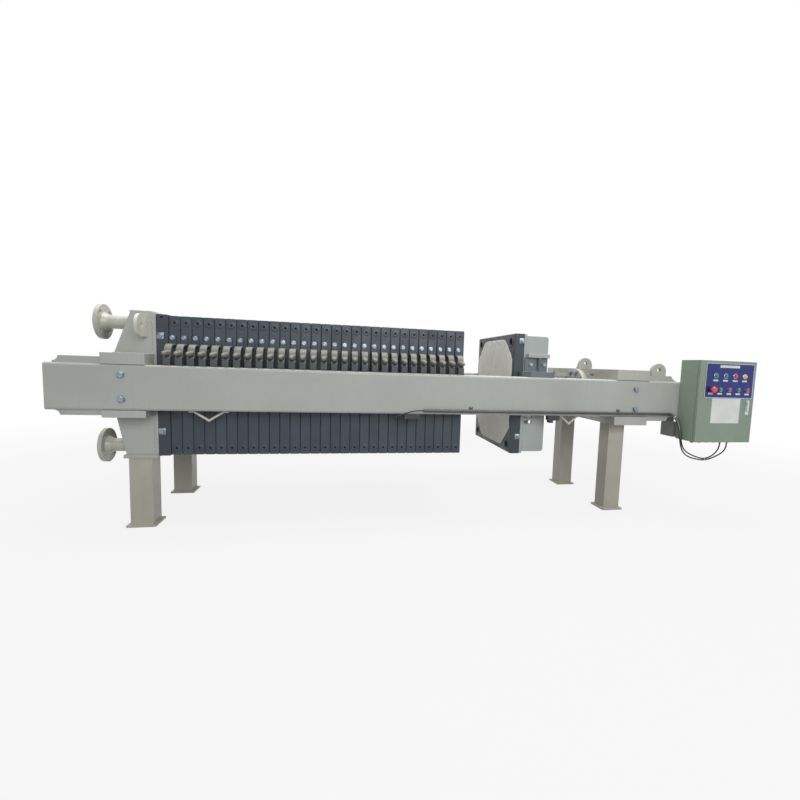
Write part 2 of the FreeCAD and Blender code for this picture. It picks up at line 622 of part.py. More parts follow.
# Cable conduit clipped along the lower edge of the front beam; past the beam
# end it turns down in front of the cabinet's side.
cond_y = -beam_out - CONDUIT_R - CLIP_T - SEAT
cond_z = beam_z0 + CONDUIT_UP
cond_end = (cab_x0 - 13, cond_y - 52, cond_z - 166)
conduit, cond_l, _ = smooth_route([
    (CONDUIT_X, cond_y, cond_z), (beam_x1 - CONDUIT_BACK, cond_y, cond_z), (cab_x0 - 24, cond_y - 22, cond_z - 38),
    (cab_x0 - 21, cond_y - 44, cond_z - 94), cond_end], CONDUIT_R)
nodes["conduit"] = [conduit]


def clip(x):
    x0, x1 = x - CLIP_W / 2, x + CLIP_W / 2
    top = cond_z + CONDUIT_R
    band = rod((x0, cond_y, cond_z), (x1, cond_y, cond_z), CONDUIT_R + CLIP_T)
    band = fuse(band, box(x0, x1, cond_y, -beam_out, top, top + CLIP_T), box(x0, x1, -beam_out - CLIP_T, -beam_out, top, top + CLIP_TAB))
    return band.cut(rod((x0 - 1, cond_y, cond_z), (x1 + 1, cond_y, cond_z), CONDUIT_R + SEAT))


nodes["conduit_clips"] = [clip(CONDUIT_X + CLIP_FEED), clip(ram_x0 + CLIP_RAM)]

# -------------------------------------------------------------- control cabinet
# Sheet steel case open to the front, standing off the beam end on a bracket.
# Two eyes on its lip carry the door's hinge pins.
cab_x1, cab_z1 = cab_x0 + CAB_W, CAB_Z + CAB_H
cab_y1, cab_y0 = -beam_out, -beam_out - CAB_D
hinge_x, hinge_y = cab_x0 + HINGE_IN, door_y - HINGE_IN
hinge_zs = (CAB_Z + HINGE_UP, cab_z1 - HINGE_UP)
case = box(cab_x0, cab_x1, cab_y0, cab_y1, CAB_Z, cab_z1)
case = case.cut(box(cab_x0 + CAB_WALL, cab_x1 - CAB_WALL, cab_y0 + CAB_WALL, cab_y1 - CAB_WALL, CAB_Z + CAB_WALL, cab_z1 - CAB_WALL))
case = case.cut(box(cab_x0 + CAB_LIP, cab_x1 - CAB_LIP, cab_y0 - 1, cab_y0 + CAB_WALL + 1, CAB_Z + CAB_LIP, cab_z1 - CAB_LIP))
for z in hinge_zs:
    eye = rod((hinge_x, hinge_y, z - EYE_H / 2), (hinge_x, hinge_y, z + EYE_H / 2), HINGE_IN)
    leaf = box(hinge_x - 1, hinge_x + HINGE_IN, hinge_y, cab_y0 + CAB_WALL / 2, z - EYE_H / 2, z + EYE_H / 2)
    case = fuse(case, eye, leaf).cut(rod((hinge_x, hinge_y, z - EYE_H), (hinge_x, hinge_y, z + EYE_H), PIN_R + FIT))
nodes["cabinet_case"] = [case]
nodes["mounting_plate"] = [box(cab_x0 + 30, cab_x1 - 30, cab_y1 - CAB_WALL - 3, cab_y1 - CAB_WALL, CAB_Z + 30, cab_z1 - 30)]

stay_x = beam_x1 - STRIP_END + 2
stay_z0, stay_z1 = CAB_Z + 10, CAB_Z + 115
stay = fuse(box(stay_x, cab_x1 - 60, -beam_out, -beam_out + STAY_T, stay_z0, stay_z1),
            box(stay_x, cab_x1 - 60, -beam_out, -beam_out + 40, stay_z1 - STAY_T, stay_z1),
            box(stay_x, stay_x + STAY_T, -beam_out, -beam_in, stay_z0, beam_z0),
            box(stay_x, beam_x1 - 2, strip_mid_y - 40, -beam_in, beam_z0 - STAY_T, beam_z0))
nodes["cabinet_bracket"] = [stay]

# Cable glands in the bottom of the case: a hexagon and a domed cap.
gland_y = (cab_y0 + cab_y1) / 2
gland_z = CAB_Z - GLAND_L
gland_xs = [cab_x0 + GLAND_X + k * GLAND_PITCH for k in range(GLANDS)]
glands = []
for gx in gland_xs:
    nut = prism("z", CAB_Z - GLAND_NUT, CAB_Z, [
        (gx + GLAND_R * math.cos(math.pi * k / 3), gland_y + GLAND_R * math.sin(math.pi * k / 3)) for k in range(6)])
    cap = turned((gx, gland_y, CAB_Z - GLAND_NUT), (0, 0, -1),
                 [(0, 0), (0, GLAND_R - 3), (GLAND_L - GLAND_NUT, GLAND_R - 6), (GLAND_L - GLAND_NUT, 0)])
    glands.append(fuse(nut, cap))
nodes["cable_glands"] = glands

# Two cables leave the conduit side by side, hang in a loop under the cabinet
# and rise into their glands; the lead of the feed end switch comes out of the
# conduit's other end, turns under the beam and enters the switch.
along = (V(*cond_end) - V(cab_x0 - 21, cond_y - 44, cond_z - 94)).normalize()
side = (V(1, 0, 0) - along * along.x).normalize()
first = V(*cond_end) + side * CABLE_OFF
second = V(*cond_end) - side * CABLE_OFF


def cable(start, run, sag, gx, rise):
    """Loop from the conduit to the gland at gx: a first run along the conduit,
    then points (x from the cabinet, y and z from the gland), then a vertical
    run of that rise."""
    begin = start + along * run
    points = [tuple(start), tuple(begin)] + [(cab_x0 + x, gland_y + y, gland_z + z) for x, y, z in sag]
    return smooth_route(points + [(gx, gland_y, gland_z - rise), (gx, gland_y, gland_z)], CABLE_R)


inner, inner_l, inner_r = cable(first, 46, [
    (28, 7, -62), (70, 5, -85), (115, 5, -101), (163, 5, -115), (209, 5, -112.5), (250, 4, -95), (280, 2, -68)], gland_xs[CABLE_GLAND], 34)
outer, outer_l, outer_r = cable(second, 51, [
    (16, 7, -77), (59, 5, -103), (105, 5, -115), (159, 5, -125.5), (207, 5, -123), (249, 4, -112), (290, 3, -95), (330, 2, -73)],
    gland_xs[CABLE_GLAND + 1], 38)
nodes["cabinet_cable_inner"] = [inner]
nodes["cabinet_cable_outer"] = [outer]
sx = SWITCH_X - SWITCH_GLAND_L
lead, lead_l, lead_r = smooth_route([
    (CONDUIT_X, cond_y, cond_z), (CONDUIT_X - 36, cond_y, cond_z), (CONDUIT_X - 73, cond_y + 0.5, cond_z - 6), (CONDUIT_X - 110, cond_y + 1, cond_z - 16.5),
    (CONDUIT_X - 142, cond_y + 1.3, cond_z - 28), (sx - 50, cond_y + 1.8, sw_z + 7.5), (sx - 62, cond_y + 13.8, sw_z + 3), (sx - 62, sw_mid_y - 11.5, sw_z),
    (sx - 50, sw_mid_y + 0.5, sw_z - 2), (sx - 24, sw_mid_y - 0.5, sw_z + 0.5), (sx, sw_mid_y, sw_z)], LEAD_R)
nodes["switch_lead"] = [lead]
for name, shape, l, radii, r in (("cabinet_cable_inner", inner, inner_l, inner_r, CABLE_R), ("cabinet_cable_outer", outer, outer_l, outer_r, CABLE_R),
                                 ("switch_lead", lead, lead_l, lead_r, LEAD_R)):
    print(name, "length %.1f" % l, "volume/section*length %.4f" % (shape.Volume / (math.pi * r * r * l)), "radii", [round(q) for q in radii])

# Door: a folded sheet pan; at each hinge its side is notched for the eye and a
# pin is held between two blocks.
door = box(cab_x0, cab_x1, face_y, door_y, CAB_Z, cab_z1)
door = door.cut(box(cab_x0 + CAB_WALL, cab_x1 - CAB_WALL, face_y + CAB_WALL, door_y + 1, CAB_Z + CAB_WALL, cab_z1 - CAB_WALL))
for z in hinge_zs:
    n0, n1 = z - EYE_H / 2 - NOTCH_OVER, z + EYE_H / 2 + NOTCH_OVER
    door = door.cut(box(cab_x0 - 1, cab_x0 + CAB_WALL + 1, door_y - NOTCH_D, door_y + 1, n0, n1))
    blocks = [box(cab_x0 + 1, hinge_x + PIN_R + 1, hinge_y - PIN_R - 1, hinge_y + PIN_R + 1, a, a + NOTCH_D) for a in (n0 - NOTCH_D, n1)]
    door = fuse(door, rod((hinge_x, hinge_y, n0 - 5), (hinge_x, hinge_y, n1 + 5), PIN_R), *blocks)
nodes["cabinet_door"] = [door]

px, pz = cab_x0 + PANEL_X, CAB_Z + PANEL_Z
nodes["control_panel"] = [prism("y", face_y - PANEL_T, face_y, rect(px, px + PANEL_W, pz, pz + PANEL_H, 3))]
front = face_y - PANEL_T


def lamp(x):
    return turned((x, front, CAB_Z + LAMP_Z), (0, -1, 0),
                  [(0, 0), (0, LAMP_R + 2.5), (3, LAMP_R + 2.5), (3, LAMP_R), (LAMP_H, LAMP_R * 0.75), (LAMP_H, 0)])


lamps = [lamp(cab_x0 + LAMP_X + k * LAMP_PITCH) for k in range(4)]
nodes["lamps_green"] = lamps[:2]
nodes["lamp_red"] = lamps[2:3]
nodes["lamp_yellow"] = lamps[3:]

button_z = CAB_Z + BUTTON_Z
button_xs = [cab_x0 + BUTTON_X + k * BUTTON_PITCH for k in range(4)]


def ring_at(x, r_out, r_in, h):
    return turned((x, front, button_z), (0, -1, 0), [(0, r_in), (0, r_out), (h, r_out - 1.5), (h, r_in)])


nodes["button_rings"] = [ring_at(x, RING_R, BUTTON_R + BUTTON_PLAY, RING_H) for x in button_xs]
for name, x in zip(("button_green_1", "button_red_1", "button_green_2", "button_red_2"), button_xs):
    nodes[name] = [turned((x, front - CAP_OUT, button_z), (0, -1, 0), [(0, 0), (0, BUTTON_R), (RING_H - 1, BUTTON_R), (RING_H, BUTTON_R - 1), (RING_H, 0)])]

stop_x = cab_x0 + STOP_X
nodes["stop_collar"] = [ring_at(stop_x, RING_R, STOP_NECK_R + BUTTON_PLAY, 8)]
nodes["stop_button"] = [turned((stop_x, front - 7, button_z), (0, -1, 0),
                               [(0, 0), (0, STOP_NECK_R), (14, STOP_NECK_R), (16, STOP_R), (27, STOP_R), (STOP_H - 7, STOP_R * 0.72), (STOP_H - 7, 0)])]

# Lever lock in its plate at the free edge of the door.
lx, lz = cab_x0 + LATCH_X, CAB_Z + LATCH_Z
plate_y = face_y - 4
lock = prism("y", plate_y, face_y, rect(lx - LATCH_W / 2, lx + LATCH_W / 2, lz, lz + LATCH_H, 10))
nodes["latch_plate"] = [lock]
lever_y = plate_y - SEAT
nodes["latch_lever"] = [prism("x", lx - 7, lx + 7, rect(lever_y - LEVER_T, lever_y, lz + 24, lz + LATCH_H - 8, LEVER_T / 2 - 0.01))]

# ---------------------------------------------------------------------- export
# The part stands on the floor with its origin under the middle of its box.
whole = Part.makeCompound([s for group in nodes.values() for s in group]).BoundBox
shift = V(-(whole.XMin + whole.XMax) / 2, -(whole.YMin + whole.YMax) / 2, -whole.ZMin)
os.makedirs("parts", exist_ok=True)
for name, group in nodes.items():
    shape = group[0] if len(group) == 1 else Part.makeCompound(group)
    shape.translate(shift)
    if not shape.isValid():
        print("not valid:", name)
    shape.exportStep("parts/%s.step" % name)
print("shift %.3f %.3f %.3f" % (shift.x, shift.y, shift.z))
print("size %.1f %.1f %.1f" % (whole.XLength, whole.YLength, whole.ZLength))
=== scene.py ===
import math

import bmesh
import bpy
import numpy as np
from mathutils import Matrix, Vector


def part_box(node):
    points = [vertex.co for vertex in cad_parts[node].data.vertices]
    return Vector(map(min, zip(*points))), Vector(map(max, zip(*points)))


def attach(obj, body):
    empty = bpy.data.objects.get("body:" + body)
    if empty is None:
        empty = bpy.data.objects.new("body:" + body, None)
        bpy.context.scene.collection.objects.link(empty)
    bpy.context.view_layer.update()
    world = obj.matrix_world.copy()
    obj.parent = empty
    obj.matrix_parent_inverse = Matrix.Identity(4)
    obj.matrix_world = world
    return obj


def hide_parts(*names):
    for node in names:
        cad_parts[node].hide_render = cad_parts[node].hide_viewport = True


# ------------------------------------------------------------------ the press and its camera
# The plate filter press stands on the floor, feed head on the left and control
# cabinet on the right.  Pieces are set out in millimetres from the contact face
# of the feed head, the centre line of the ram and the floor.
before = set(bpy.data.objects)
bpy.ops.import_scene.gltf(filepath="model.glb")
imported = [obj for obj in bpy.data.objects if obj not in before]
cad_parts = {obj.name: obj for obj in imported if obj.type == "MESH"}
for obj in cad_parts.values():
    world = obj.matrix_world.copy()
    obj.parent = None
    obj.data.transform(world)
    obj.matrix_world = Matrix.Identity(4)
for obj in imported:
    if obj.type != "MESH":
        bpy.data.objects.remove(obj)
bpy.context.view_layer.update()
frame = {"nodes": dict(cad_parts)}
pack_low, pack_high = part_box("head_plate")
contact_face = pack_low.x * 1000
centre_line = (pack_low.y + pack_high.y) * 500
layout = np.array([contact_face, centre_line, 0.0])


def at(points):
    """Layout millimetres as metres in the frame: add the layout's origin, divide by a thousand."""
    return (np.asarray(points, float) + layout) / 1000


def low(node):
    """Lowest corner of a node in layout millimetres."""
    return np.array(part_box(node)[0]) * 1000 - layout


def high(node):
    """Highest corner of a node in layout millimetres."""
    return np.array(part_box(node)[1]) * 1000 - layout


eye = bpy.data.cameras.new("camera")
eye.sensor_width, eye.lens = 36, 20.467
eye.shift_x, eye.shift_y = -0.0516, 0.0119
eye.clip_start, eye.clip_end = 0.05, 300
camera = bpy.data.objects.new("camera", eye)
bpy.context.collection.objects.link(camera)
camera.matrix_world = Matrix((
    (0.97608, -0.01449, -0.21692, -0.6257),
    (-0.21436, 0.10206, -0.97141, -3.18965),
    (0.03622, 0.99467, 0.09652, 0.9951),
    (0, 0, 0, 1)))
bpy.context.scene.camera = camera
bpy.context.scene.view_settings.view_transform = "Standard"

# ------------------------------------------------------------------ control cables
# Two black rubber-sheathed cables leave the conduit, hang in one loop under the
# cabinet and rise into two of its glands; a thin lead runs from the conduit's
# other end to the feed end switch.  Nylon ties hold them together.


def tint(r, g, b):
    """Linear colour of a chart value from 0 to 255: the display curve undone."""
    c = np.array([r, g, b]) / 255
    return (*np.where(c <= 0.04045, c / 12.92, ((c + 0.055) / 1.055) ** 2.4), 1.0)


def put(tree, kind, links=None, **settings):
    """One shader node: settings are its own options, links its sockets' values or sources."""
    node = tree.nodes.new(kind)
    for option, value in settings.items():
        setattr(node, option, value)
    for socket, value in (links or {}).items():
        if isinstance(value, bpy.types.NodeSocket):
            tree.links.new(value, node.inputs[socket])
        else:
            node.inputs[socket].default_value = value
    return node


def calc(tree, operation, a, b=0.0):
    """Result socket of one arithmetic node."""
    return put(tree, "ShaderNodeMath", {0: a, 1: b}, operation=operation).outputs[0]


def span(tree, value, start, end, to_start=0.0, to_end=1.0):
    """A value between start and end carried over to another range, smooth at both ends."""
    return put(tree, "ShaderNodeMapRange",
               {"Value": value, "From Min": start, "From Max": end, "To Min": to_start, "To Max": to_end},
               interpolation_type="SMOOTHSTEP").outputs["Result"]


def lay(tree, mask, under, over):
    """Colour that goes from under to over where the mask rises from 0 to 1."""
    return put(tree, "ShaderNodeMix", {0: mask, 6: under, 7: over}, data_type="RGBA").outputs[2]


def effect(name, takes, gives):
    """An empty node group with named number inputs and the outputs that it gives."""
    group = bpy.data.node_groups.new(name, "ShaderNodeTree")
    for label, start in takes.items():
        group.interface.new_socket(label, in_out="INPUT", socket_type="NodeSocketFloat").default_value = start
    for label, kind in gives.items():
        group.interface.new_socket(label, in_out="OUTPUT", socket_type="NodeSocket" + kind)
    return group, group.nodes.new("NodeGroupInput").outputs, group.nodes.new("NodeGroupOutput").inputs


def use(tree, group, **values):
    """Places an effect in a material with its own values; returns its outputs."""
    return put(tree, "ShaderNodeGroup", {k.replace("_", " "): v for k, v in values.items()},
               node_tree=group).outputs


def material(name, **fixed):
    """A material and its Principled shader, with the constants set on the shader's own sockets."""
    made = bpy.data.materials.new(name)
    made.use_nodes = True
    tree = made.node_tree
    tree.nodes.clear()
    shader = tree.nodes.new("ShaderNodeBsdfPrincipled")
    tree.links.new(shader.outputs[0], tree.nodes.new("ShaderNodeOutputMaterial").inputs[0])
    for socket, value in fixed.items():
        shader.inputs[socket.replace("_", " ")].default_value = value
    return made, tree, shader


# Surface skin: a fine grain for the bump, broad clouds for the colour, small specks.
surface_skin, taken, given = effect("surface_skin", {"Grain": 900.0, "Cloud": 4.0},
                                    {"Grain": "Float", "Cloud": "Float", "Specks": "Float"})
tree = surface_skin
where = put(tree, "ShaderNodeTexCoord").outputs["Object"]
tree.links.new(put(tree, "ShaderNodeTexNoise",
                   {"Vector": where, "Scale": taken["Grain"], "Detail": 1.0}).outputs[0], given["Grain"])
cloud = put(tree, "ShaderNodeTexNoise", {"Vector": where, "Scale": taken["Cloud"], "Detail": 5.0,
                                         "Roughness": 0.55, "Distortion": 0.3}).outputs[0]
tree.links.new(span(tree, cloud, 0.3, 0.7), given["Cloud"])
speck = put(tree, "ShaderNodeTexNoise", {"Vector": where,
                                         "Scale": calc(tree, "MULTIPLY", taken["Grain"],
                                                       0.22), "Detail": 2.0}).outputs[0]
tree.links.new(span(tree, speck, 0.66, 0.74), given["Specks"])


def join(tree, source, shader, socket):
    """Links a source to one socket of the shader."""
    tree.links.new(source, shader.inputs[socket])


def bump(tree, height, distance, strength=1.0, normal=None):
    """Normal of a bumped surface."""
    links = {"Height": height, "Distance": distance, "Strength": strength}
    if normal is not None:
        links["Normal"] = normal
    return put(tree, "ShaderNodeBump", links).outputs[0]


def finish(name, one, other, grain, cloud, gloss, peel=None, **fixed):
    """A plain finish: clouds between two tones, a gloss that follows them and, where there
    is a peel (depth, strength), the grain as a fine bump."""
    made, tree, shader = material(name, **fixed)
    skin = use(tree, surface_skin, Grain=grain, Cloud=cloud)
    join(tree, lay(tree, skin["Cloud"], one, other), shader, "Base Color")
    join(tree, span(tree, skin["Cloud"], 0, 1, *gloss), shader, "Roughness")
    if peel:
        join(tree, bump(tree, skin["Grain"], *peel), shader, "Normal")
    return made


cable_rubber = finish("cable_rubber", tint(24, 24, 26), tint(36, 36, 37), 1400.0, 22.0, (0.36, 0.5),
                      (0.00015, 0.4), Specular_IOR_Level=0.45)

CABLE_R, LEAD_R = 4.6, 3.0
INNER_ROUTE = np.array([
    (3334.17, -602.24, 548.57), (3339.22, -607.29, 503.13), (3370, -608.5, 463), (3412, -610.5, 440), (3457, -610.5, 424), (3505, -610.5, 410),
    (3551, -610.5, 412.5), (3592, -611.5, 430), (3622, -613.5, 457), (3642, -615.5, 491), (3642, -615.5,
                                                                                           525)])
OUTER_ROUTE = np.array([
    (3323.83, -602.36, 547.43), (3329.43, -607.96, 497.05), (3358, -608.5, 448), (3401, -610.5, 422), (3447, -610.5, 410), (3501, -610.5, 399.5),
    (3549, -610.5, 402), (3591, -611.5, 413), (3632, -612.5, 430), (3672, -613.5, 452), (3700, -615.5,
                                                                                         487), (3700, -615.5,
                                                                                                525)])
LEAD_ROUTE = np.array([
    (1525, -550.3, 714), (1489, -550.3, 714), (1452, -549.8, 708), (1415, -549.3, 697.5), (1383, -549, 686), (1352, -548.5, 675.5), (1340, -536.5, 671),
    (1340, -519.5, 668), (1352, -507.5, 666), (1378, -508.5, 668.5), (1402, -508, 668)])


def cable(name, route, radius, node):
    """A smooth curve of order three whose control points are the route, as thick as the cable."""
    line = bpy.data.curves.new(name, "CURVE")
    line.dimensions, line.resolution_u, line.bevel_depth, line.bevel_resolution, line.use_fill_caps = "3D", 10, radius / 1000, 4, True
    run = line.splines.new("NURBS")
    run.points.add(len(route) - 1)
    run.points.foreach_set("co", np.column_stack([at(route), np.ones(len(route))]).ravel())
    run.order_u, run.use_endpoint_u = 3, True
    line.materials.append(cable_rubber)
    piece = bpy.data.objects.new(name, line)
    bpy.context.collection.objects.link(piece)
    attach(piece, "frame")
    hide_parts(node)
    return piece


inner_cable = cable("inner_cable", INNER_ROUTE, CABLE_R, "cabinet_cable_inner")
outer_cable = cable("outer_cable", OUTER_ROUTE, CABLE_R, "cabinet_cable_outer")
lead = cable("feed_switch_lead", LEAD_ROUTE, LEAD_R, "switch_lead")


def join_blocks(blocks):
    """Several (points, faces, marks) shapes as one: points stacked, each shape's faces
    moved on by the points before them."""
    points, faces, marks, first = [], [], [], 0
    for shape in blocks:
        points.append(shape[0])
        faces += [face + first for face in shape[1]]
        marks += list(shape[2]) if len(shape) > 2 else [np.zeros(len(face), int) for face in shape[1]]
        first += len(shape[0])
    return np.vstack(points), faces, marks


def add_piece(name, shape, body, materials, smooth=True, bevel=0.0):
    """Puts a shape in layout millimetres into a mesh: points, blocks of faces as index
    arrays and, for each block, which material its faces take.  Faces turn outwards."""
    points, faces = shape[0], shape[1]
    marks = shape[2] if len(shape) > 2 else [np.zeros(len(face), int) for face in faces]
    mesh = bpy.data.meshes.new(name)
    mesh.from_pydata(at(points).tolist(), [], [row for face in faces for row in face.tolist()])
    for one in materials if isinstance(materials, (list, tuple)) else [materials]:
        mesh.materials.append(one)
    mesh.polygons.foreach_set("material_index", np.concatenate(marks))
    mesh.polygons.foreach_set("use_smooth", np.full(len(mesh.polygons), smooth))
    work = bmesh.new()
    work.from_mesh(mesh)
    bmesh.ops.recalc_face_normals(work, faces=work.faces)
    work.to_mesh(mesh)
    work.free()
    if smooth:
        mesh.set_sharp_from_angle(angle=math.radians(38))
    piece = bpy.data.objects.new(name, mesh)
    bpy.context.collection.objects.link(piece)
    if bevel:
        round_off = piece.modifiers.new("round_off", "BEVEL")
        round_off.width, round_off.segments, round_off.limit_method, round_off.angle_limit = bevel / 1000, 2, "ANGLE", math.radians(50)
    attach(piece, body)
    return piece


def grid(rows, cols, wrap=True):
    """Four-sided faces of a grid of rows by cols points, each row closed on itself if wrapped."""
    r, c = np.meshgrid(np.arange(rows - 1), np.arange(cols if wrap else cols - 1), indexing="ij")
    n = (c + 1) % cols
    return np.stack([r * cols + c, r * cols + n, (r + 1) * cols + n, (r + 1) * cols + c], -1).reshape(-1, 4)


def closed(rings):
    """Skin over closed rings (rings, points, 3) with a flat face on the first and the last."""
    rows, cols = rings.shape[:2]
    ends = np.array([np.arange(cols), (rows - 1) * cols + np.arange(cols)])
    return rings.reshape(-1, 3), [grid(rows, cols), ends]


def carried(profile, line, side, up, closed_line=False):
    """Profile (u, v) carried along a line: point = line + u * side + v * up at every station."""
    rings = line[:, None] + profile[None, :, :1] * side[:, None] + profile[None, :, 1:] * up[:, None]
    if closed_line:
        rows, cols = rings.shape[:2]
        r, c = np.meshgrid(np.arange(rows), np.arange(cols), indexing="ij")
        nr, nc = (r + 1) % rows, (c + 1) % cols
        return rings.reshape(-1, 3), [np.stack([r * cols + c, r * cols + nc, nr * cols + nc, nr * cols + c],
                                               -1).reshape(-1, 4)]
    return closed(rings)


def circle(count, start=0.0):
    """Unit circle: cosine and sine of evenly spaced angles."""
    a = start + np.arange(count) * 2 * math.pi / count
    return np.column_stack([np.cos(a), np.sin(a)])


def rounded(width, height, corner, steps=4):
    """Outline of a rectangle whose corners are quarter circles: each corner's centre plus
    radius times (cosine, sine) of its quarter of the circle."""
    a = (np.arange(4)[:, None] + np.linspace(0, 1, steps)[None]) * math.pi / 2
    middle = np.array([(1, 1), (-1, 1), (-1, -1), (1, -1)]) * (width / 2 - corner, height / 2 - corner)
    return (middle[:, None] + corner * np.stack([np.cos(a), np.sin(a)], -1)).reshape(-1, 2)


# A nylon tie: a thin flat band round a stadium, which is a circle pulled apart by the
# distance between the two cables, with a small lock block on its outer side.
nylon = finish("nylon_white", tint(214, 214, 208), tint(232, 232, 228), 700.0, 60.0, (0.4, 0.55),
               Specular_IOR_Level=0.5, Subsurface_Weight=0.1)


def tie(name, middle, along, apart, radius):
    """Band of 4 by 1 mm round a circle of that radius whose halves stand apart along the
    second direction; the line is middle + radius * (cosine, sine) + sign(sine) * apart / 2."""
    along = np.asarray(along, float) / np.linalg.norm(along)
    pull = np.asarray(apart, float)
    gap = np.linalg.norm(pull)
    up = pull / gap if gap else np.cross(along, (0, 1.0, 0)) / np.linalg.norm(np.cross(along, (0, 1.0, 0)))
    up = up - along * (up @ along)
    up /= np.linalg.norm(up)
    out = np.cross(along, up)
    c = circle(32, math.pi / 32)
    outward = c[:, :1] * out + c[:, 1:] * up
    line = middle + (radius + 0.55) * outward + np.sign(c[:, 1:]) * gap / 2 * up
    band = carried(rounded(4.0, 1.0, 0.35, 3), line, np.broadcast_to(along, line.shape), outward,
                   closed_line=True)
    lock = middle + out * (radius + 2.4) + np.linspace(-3, 3, 4)[:, None] * up
    block = carried(rounded(5.0, 3.8, 0.8, 3), lock, np.broadcast_to(along, lock.shape),
                    np.broadcast_to(out, lock.shape))
    return add_piece(name, join_blocks([band, block]), "frame", nylon)


loop_in, loop_out = (INNER_ROUTE[5] + INNER_ROUTE[6]) / 2, (OUTER_ROUTE[5] + OUTER_ROUTE[6]) / 2
loop_tie = tie("cable_loop_tie", (loop_in + loop_out) / 2, (1, 0, 0.03), loop_in - loop_out, CABLE_R)

# ------------------------------------------------------------------ studio
# A wide pale floor that keeps the shadow, fading to white away from the press;
# a broad soft lamp overhead and a softer one from the front left.
FLOOR_HALF = 60000.0
floor_mesh = bpy.data.meshes.new("studio_floor")
corner = np.array([(-1, -1), (1, -1), (1, 1), (-1, 1)]) * FLOOR_HALF / 1000
floor_mesh.from_pydata(np.column_stack([corner, np.full(4, -0.0005)]).tolist(), [], [[0, 1, 2, 3]])
floor = bpy.data.objects.new("studio_floor", floor_mesh)
bpy.context.collection.objects.link(floor)
floor_paint, tree, shader = material("studio_floor", Roughness=0.8, Specular_IOR_Level=0.1)
shader.inputs["Base Color"].default_value = (0.36, 0.36, 0.36, 1)
rays = put(tree, "ShaderNodeLightPath").outputs
place = put(tree, "ShaderNodeTexCoord").outputs["Object"]
far = span(tree, put(tree, "ShaderNodeVectorMath", {0: place}, operation="LENGTH").outputs["Value"], 2.2, 7.0,
           0.86, 1.0)
seen = calc(tree, "MAXIMUM", rays["Is Camera Ray"],
            calc(tree, "MAXIMUM", rays["Is Glossy Ray"], rays["Is Transmission Ray"]))
white = put(tree, "ShaderNodeEmission", {"Color": (1, 1, 1, 1), "Strength": 1.0}).outputs[0]
mixed = put(tree, "ShaderNodeMixShader", {0: calc(tree, "MULTIPLY", seen, far), 1: shader.outputs[0],
                                          2: white}).outputs[0]
tree.links.new(mixed, tree.nodes["Material Output"].inputs[0])
floor_mesh.materials.append(floor_paint)

sky = bpy.data.worlds.new("studio")
bpy.context.scene.world = sky
sky.use_nodes = True
tree = sky.node_tree
tree.nodes.clear()
rays = put(tree, "ShaderNodeLightPath").outputs
seen = calc(tree, "MAXIMUM", rays["Is Camera Ray"],
            calc(tree, "MAXIMUM", rays["Is Glossy Ray"], rays["Is Transmission Ray"]))
fill = put(tree, "ShaderNodeBackground", {"Color": (0.93, 0.96, 1.0, 1), "Strength": 0.48}).outputs[0]
plain = put(tree, "ShaderNodeBackground", {"Color": (1, 1, 1, 1), "Strength": 1.0}).outputs[0]
mixed = put(tree, "ShaderNodeMixShader", {0: seen, 1: fill, 2: plain}).outputs[0]
tree.links.new(mixed, put(tree, "ShaderNodeOutputWorld").inputs[0])


def lamp(name, centre, aim, width, depth, power, colour=(1, 1, 1)):
    """A rectangular soft lamp at a place, turned to face its aim."""
    light = bpy.data.lights.new(name, "AREA")
    light.shape, light.size, light.size_y, light.energy, light.color = "RECTANGLE", width, depth, power, colour
    holder = bpy.data.objects.new(name, light)
    bpy.context.collection.objects.link(holder)
    to = np.array(aim, float) - np.array(centre, float)
    holder.location = centre
    holder.rotation_euler = (math.atan2(math.hypot(to[0], to[1]), -to[2]), 0,
                             math.atan2(to[1], to[0]) - math.pi / 2)
    holder.visible_camera = False


lamp("overhead", (0.1, 0.0, 5.2), (0.1, 0.1, 0.8), 6.5, 3.4, 270, (1.0, 0.995, 0.98))
lamp("front", (0.6, -6.0, 3.0), (0.1, 0, 0.8), 4.4, 2.6, 205, (0.98, 0.99, 1.0))

# ------------------------------------------------------------------ beams and all painted steel
# Two rectangular hollow sections carry the pack.  They, the feed head, legs,
# pipes and ram head are welded steel, sprayed in one warm light grey gloss
# paint whose edges are paler: partly a worn coat, partly a painted highlight.

# Rounded edge: the face's normal eased over a small radius, and a mask along the edges; the materials paint that mask
# paler, partly as wear and partly as a painted highlight.
edge_wear_and_highlight, taken, given = effect("edge_wear_and_highlight", {"Radius": 0.003, "Breaks": 40.0},
                                 {"Normal": "Vector", "Edge": "Float"})
tree = edge_wear_and_highlight
eased = put(tree, "ShaderNodeBevel", {"Radius": taken["Radius"]}, samples=4).outputs[0]
turn = put(tree, "ShaderNodeVectorMath", {0: eased, 1: put(tree, "ShaderNodeNewGeometry").outputs["Normal"]},
           operation="DOT_PRODUCT").outputs["Value"]
where = put(tree, "ShaderNodeTexCoord").outputs["Object"]
breaks = put(tree, "ShaderNodeTexNoise", {"Vector": where, "Scale": taken["Breaks"],
                                          "Detail": 3.0}).outputs[0]
edge = calc(tree, "MULTIPLY", span(tree, turn, 0.995, 0.86), span(tree, breaks, 0.25, 0.6, 0.45, 1.0))
tree.links.new(eased, given["Normal"])
tree.links.new(edge, given["Edge"])
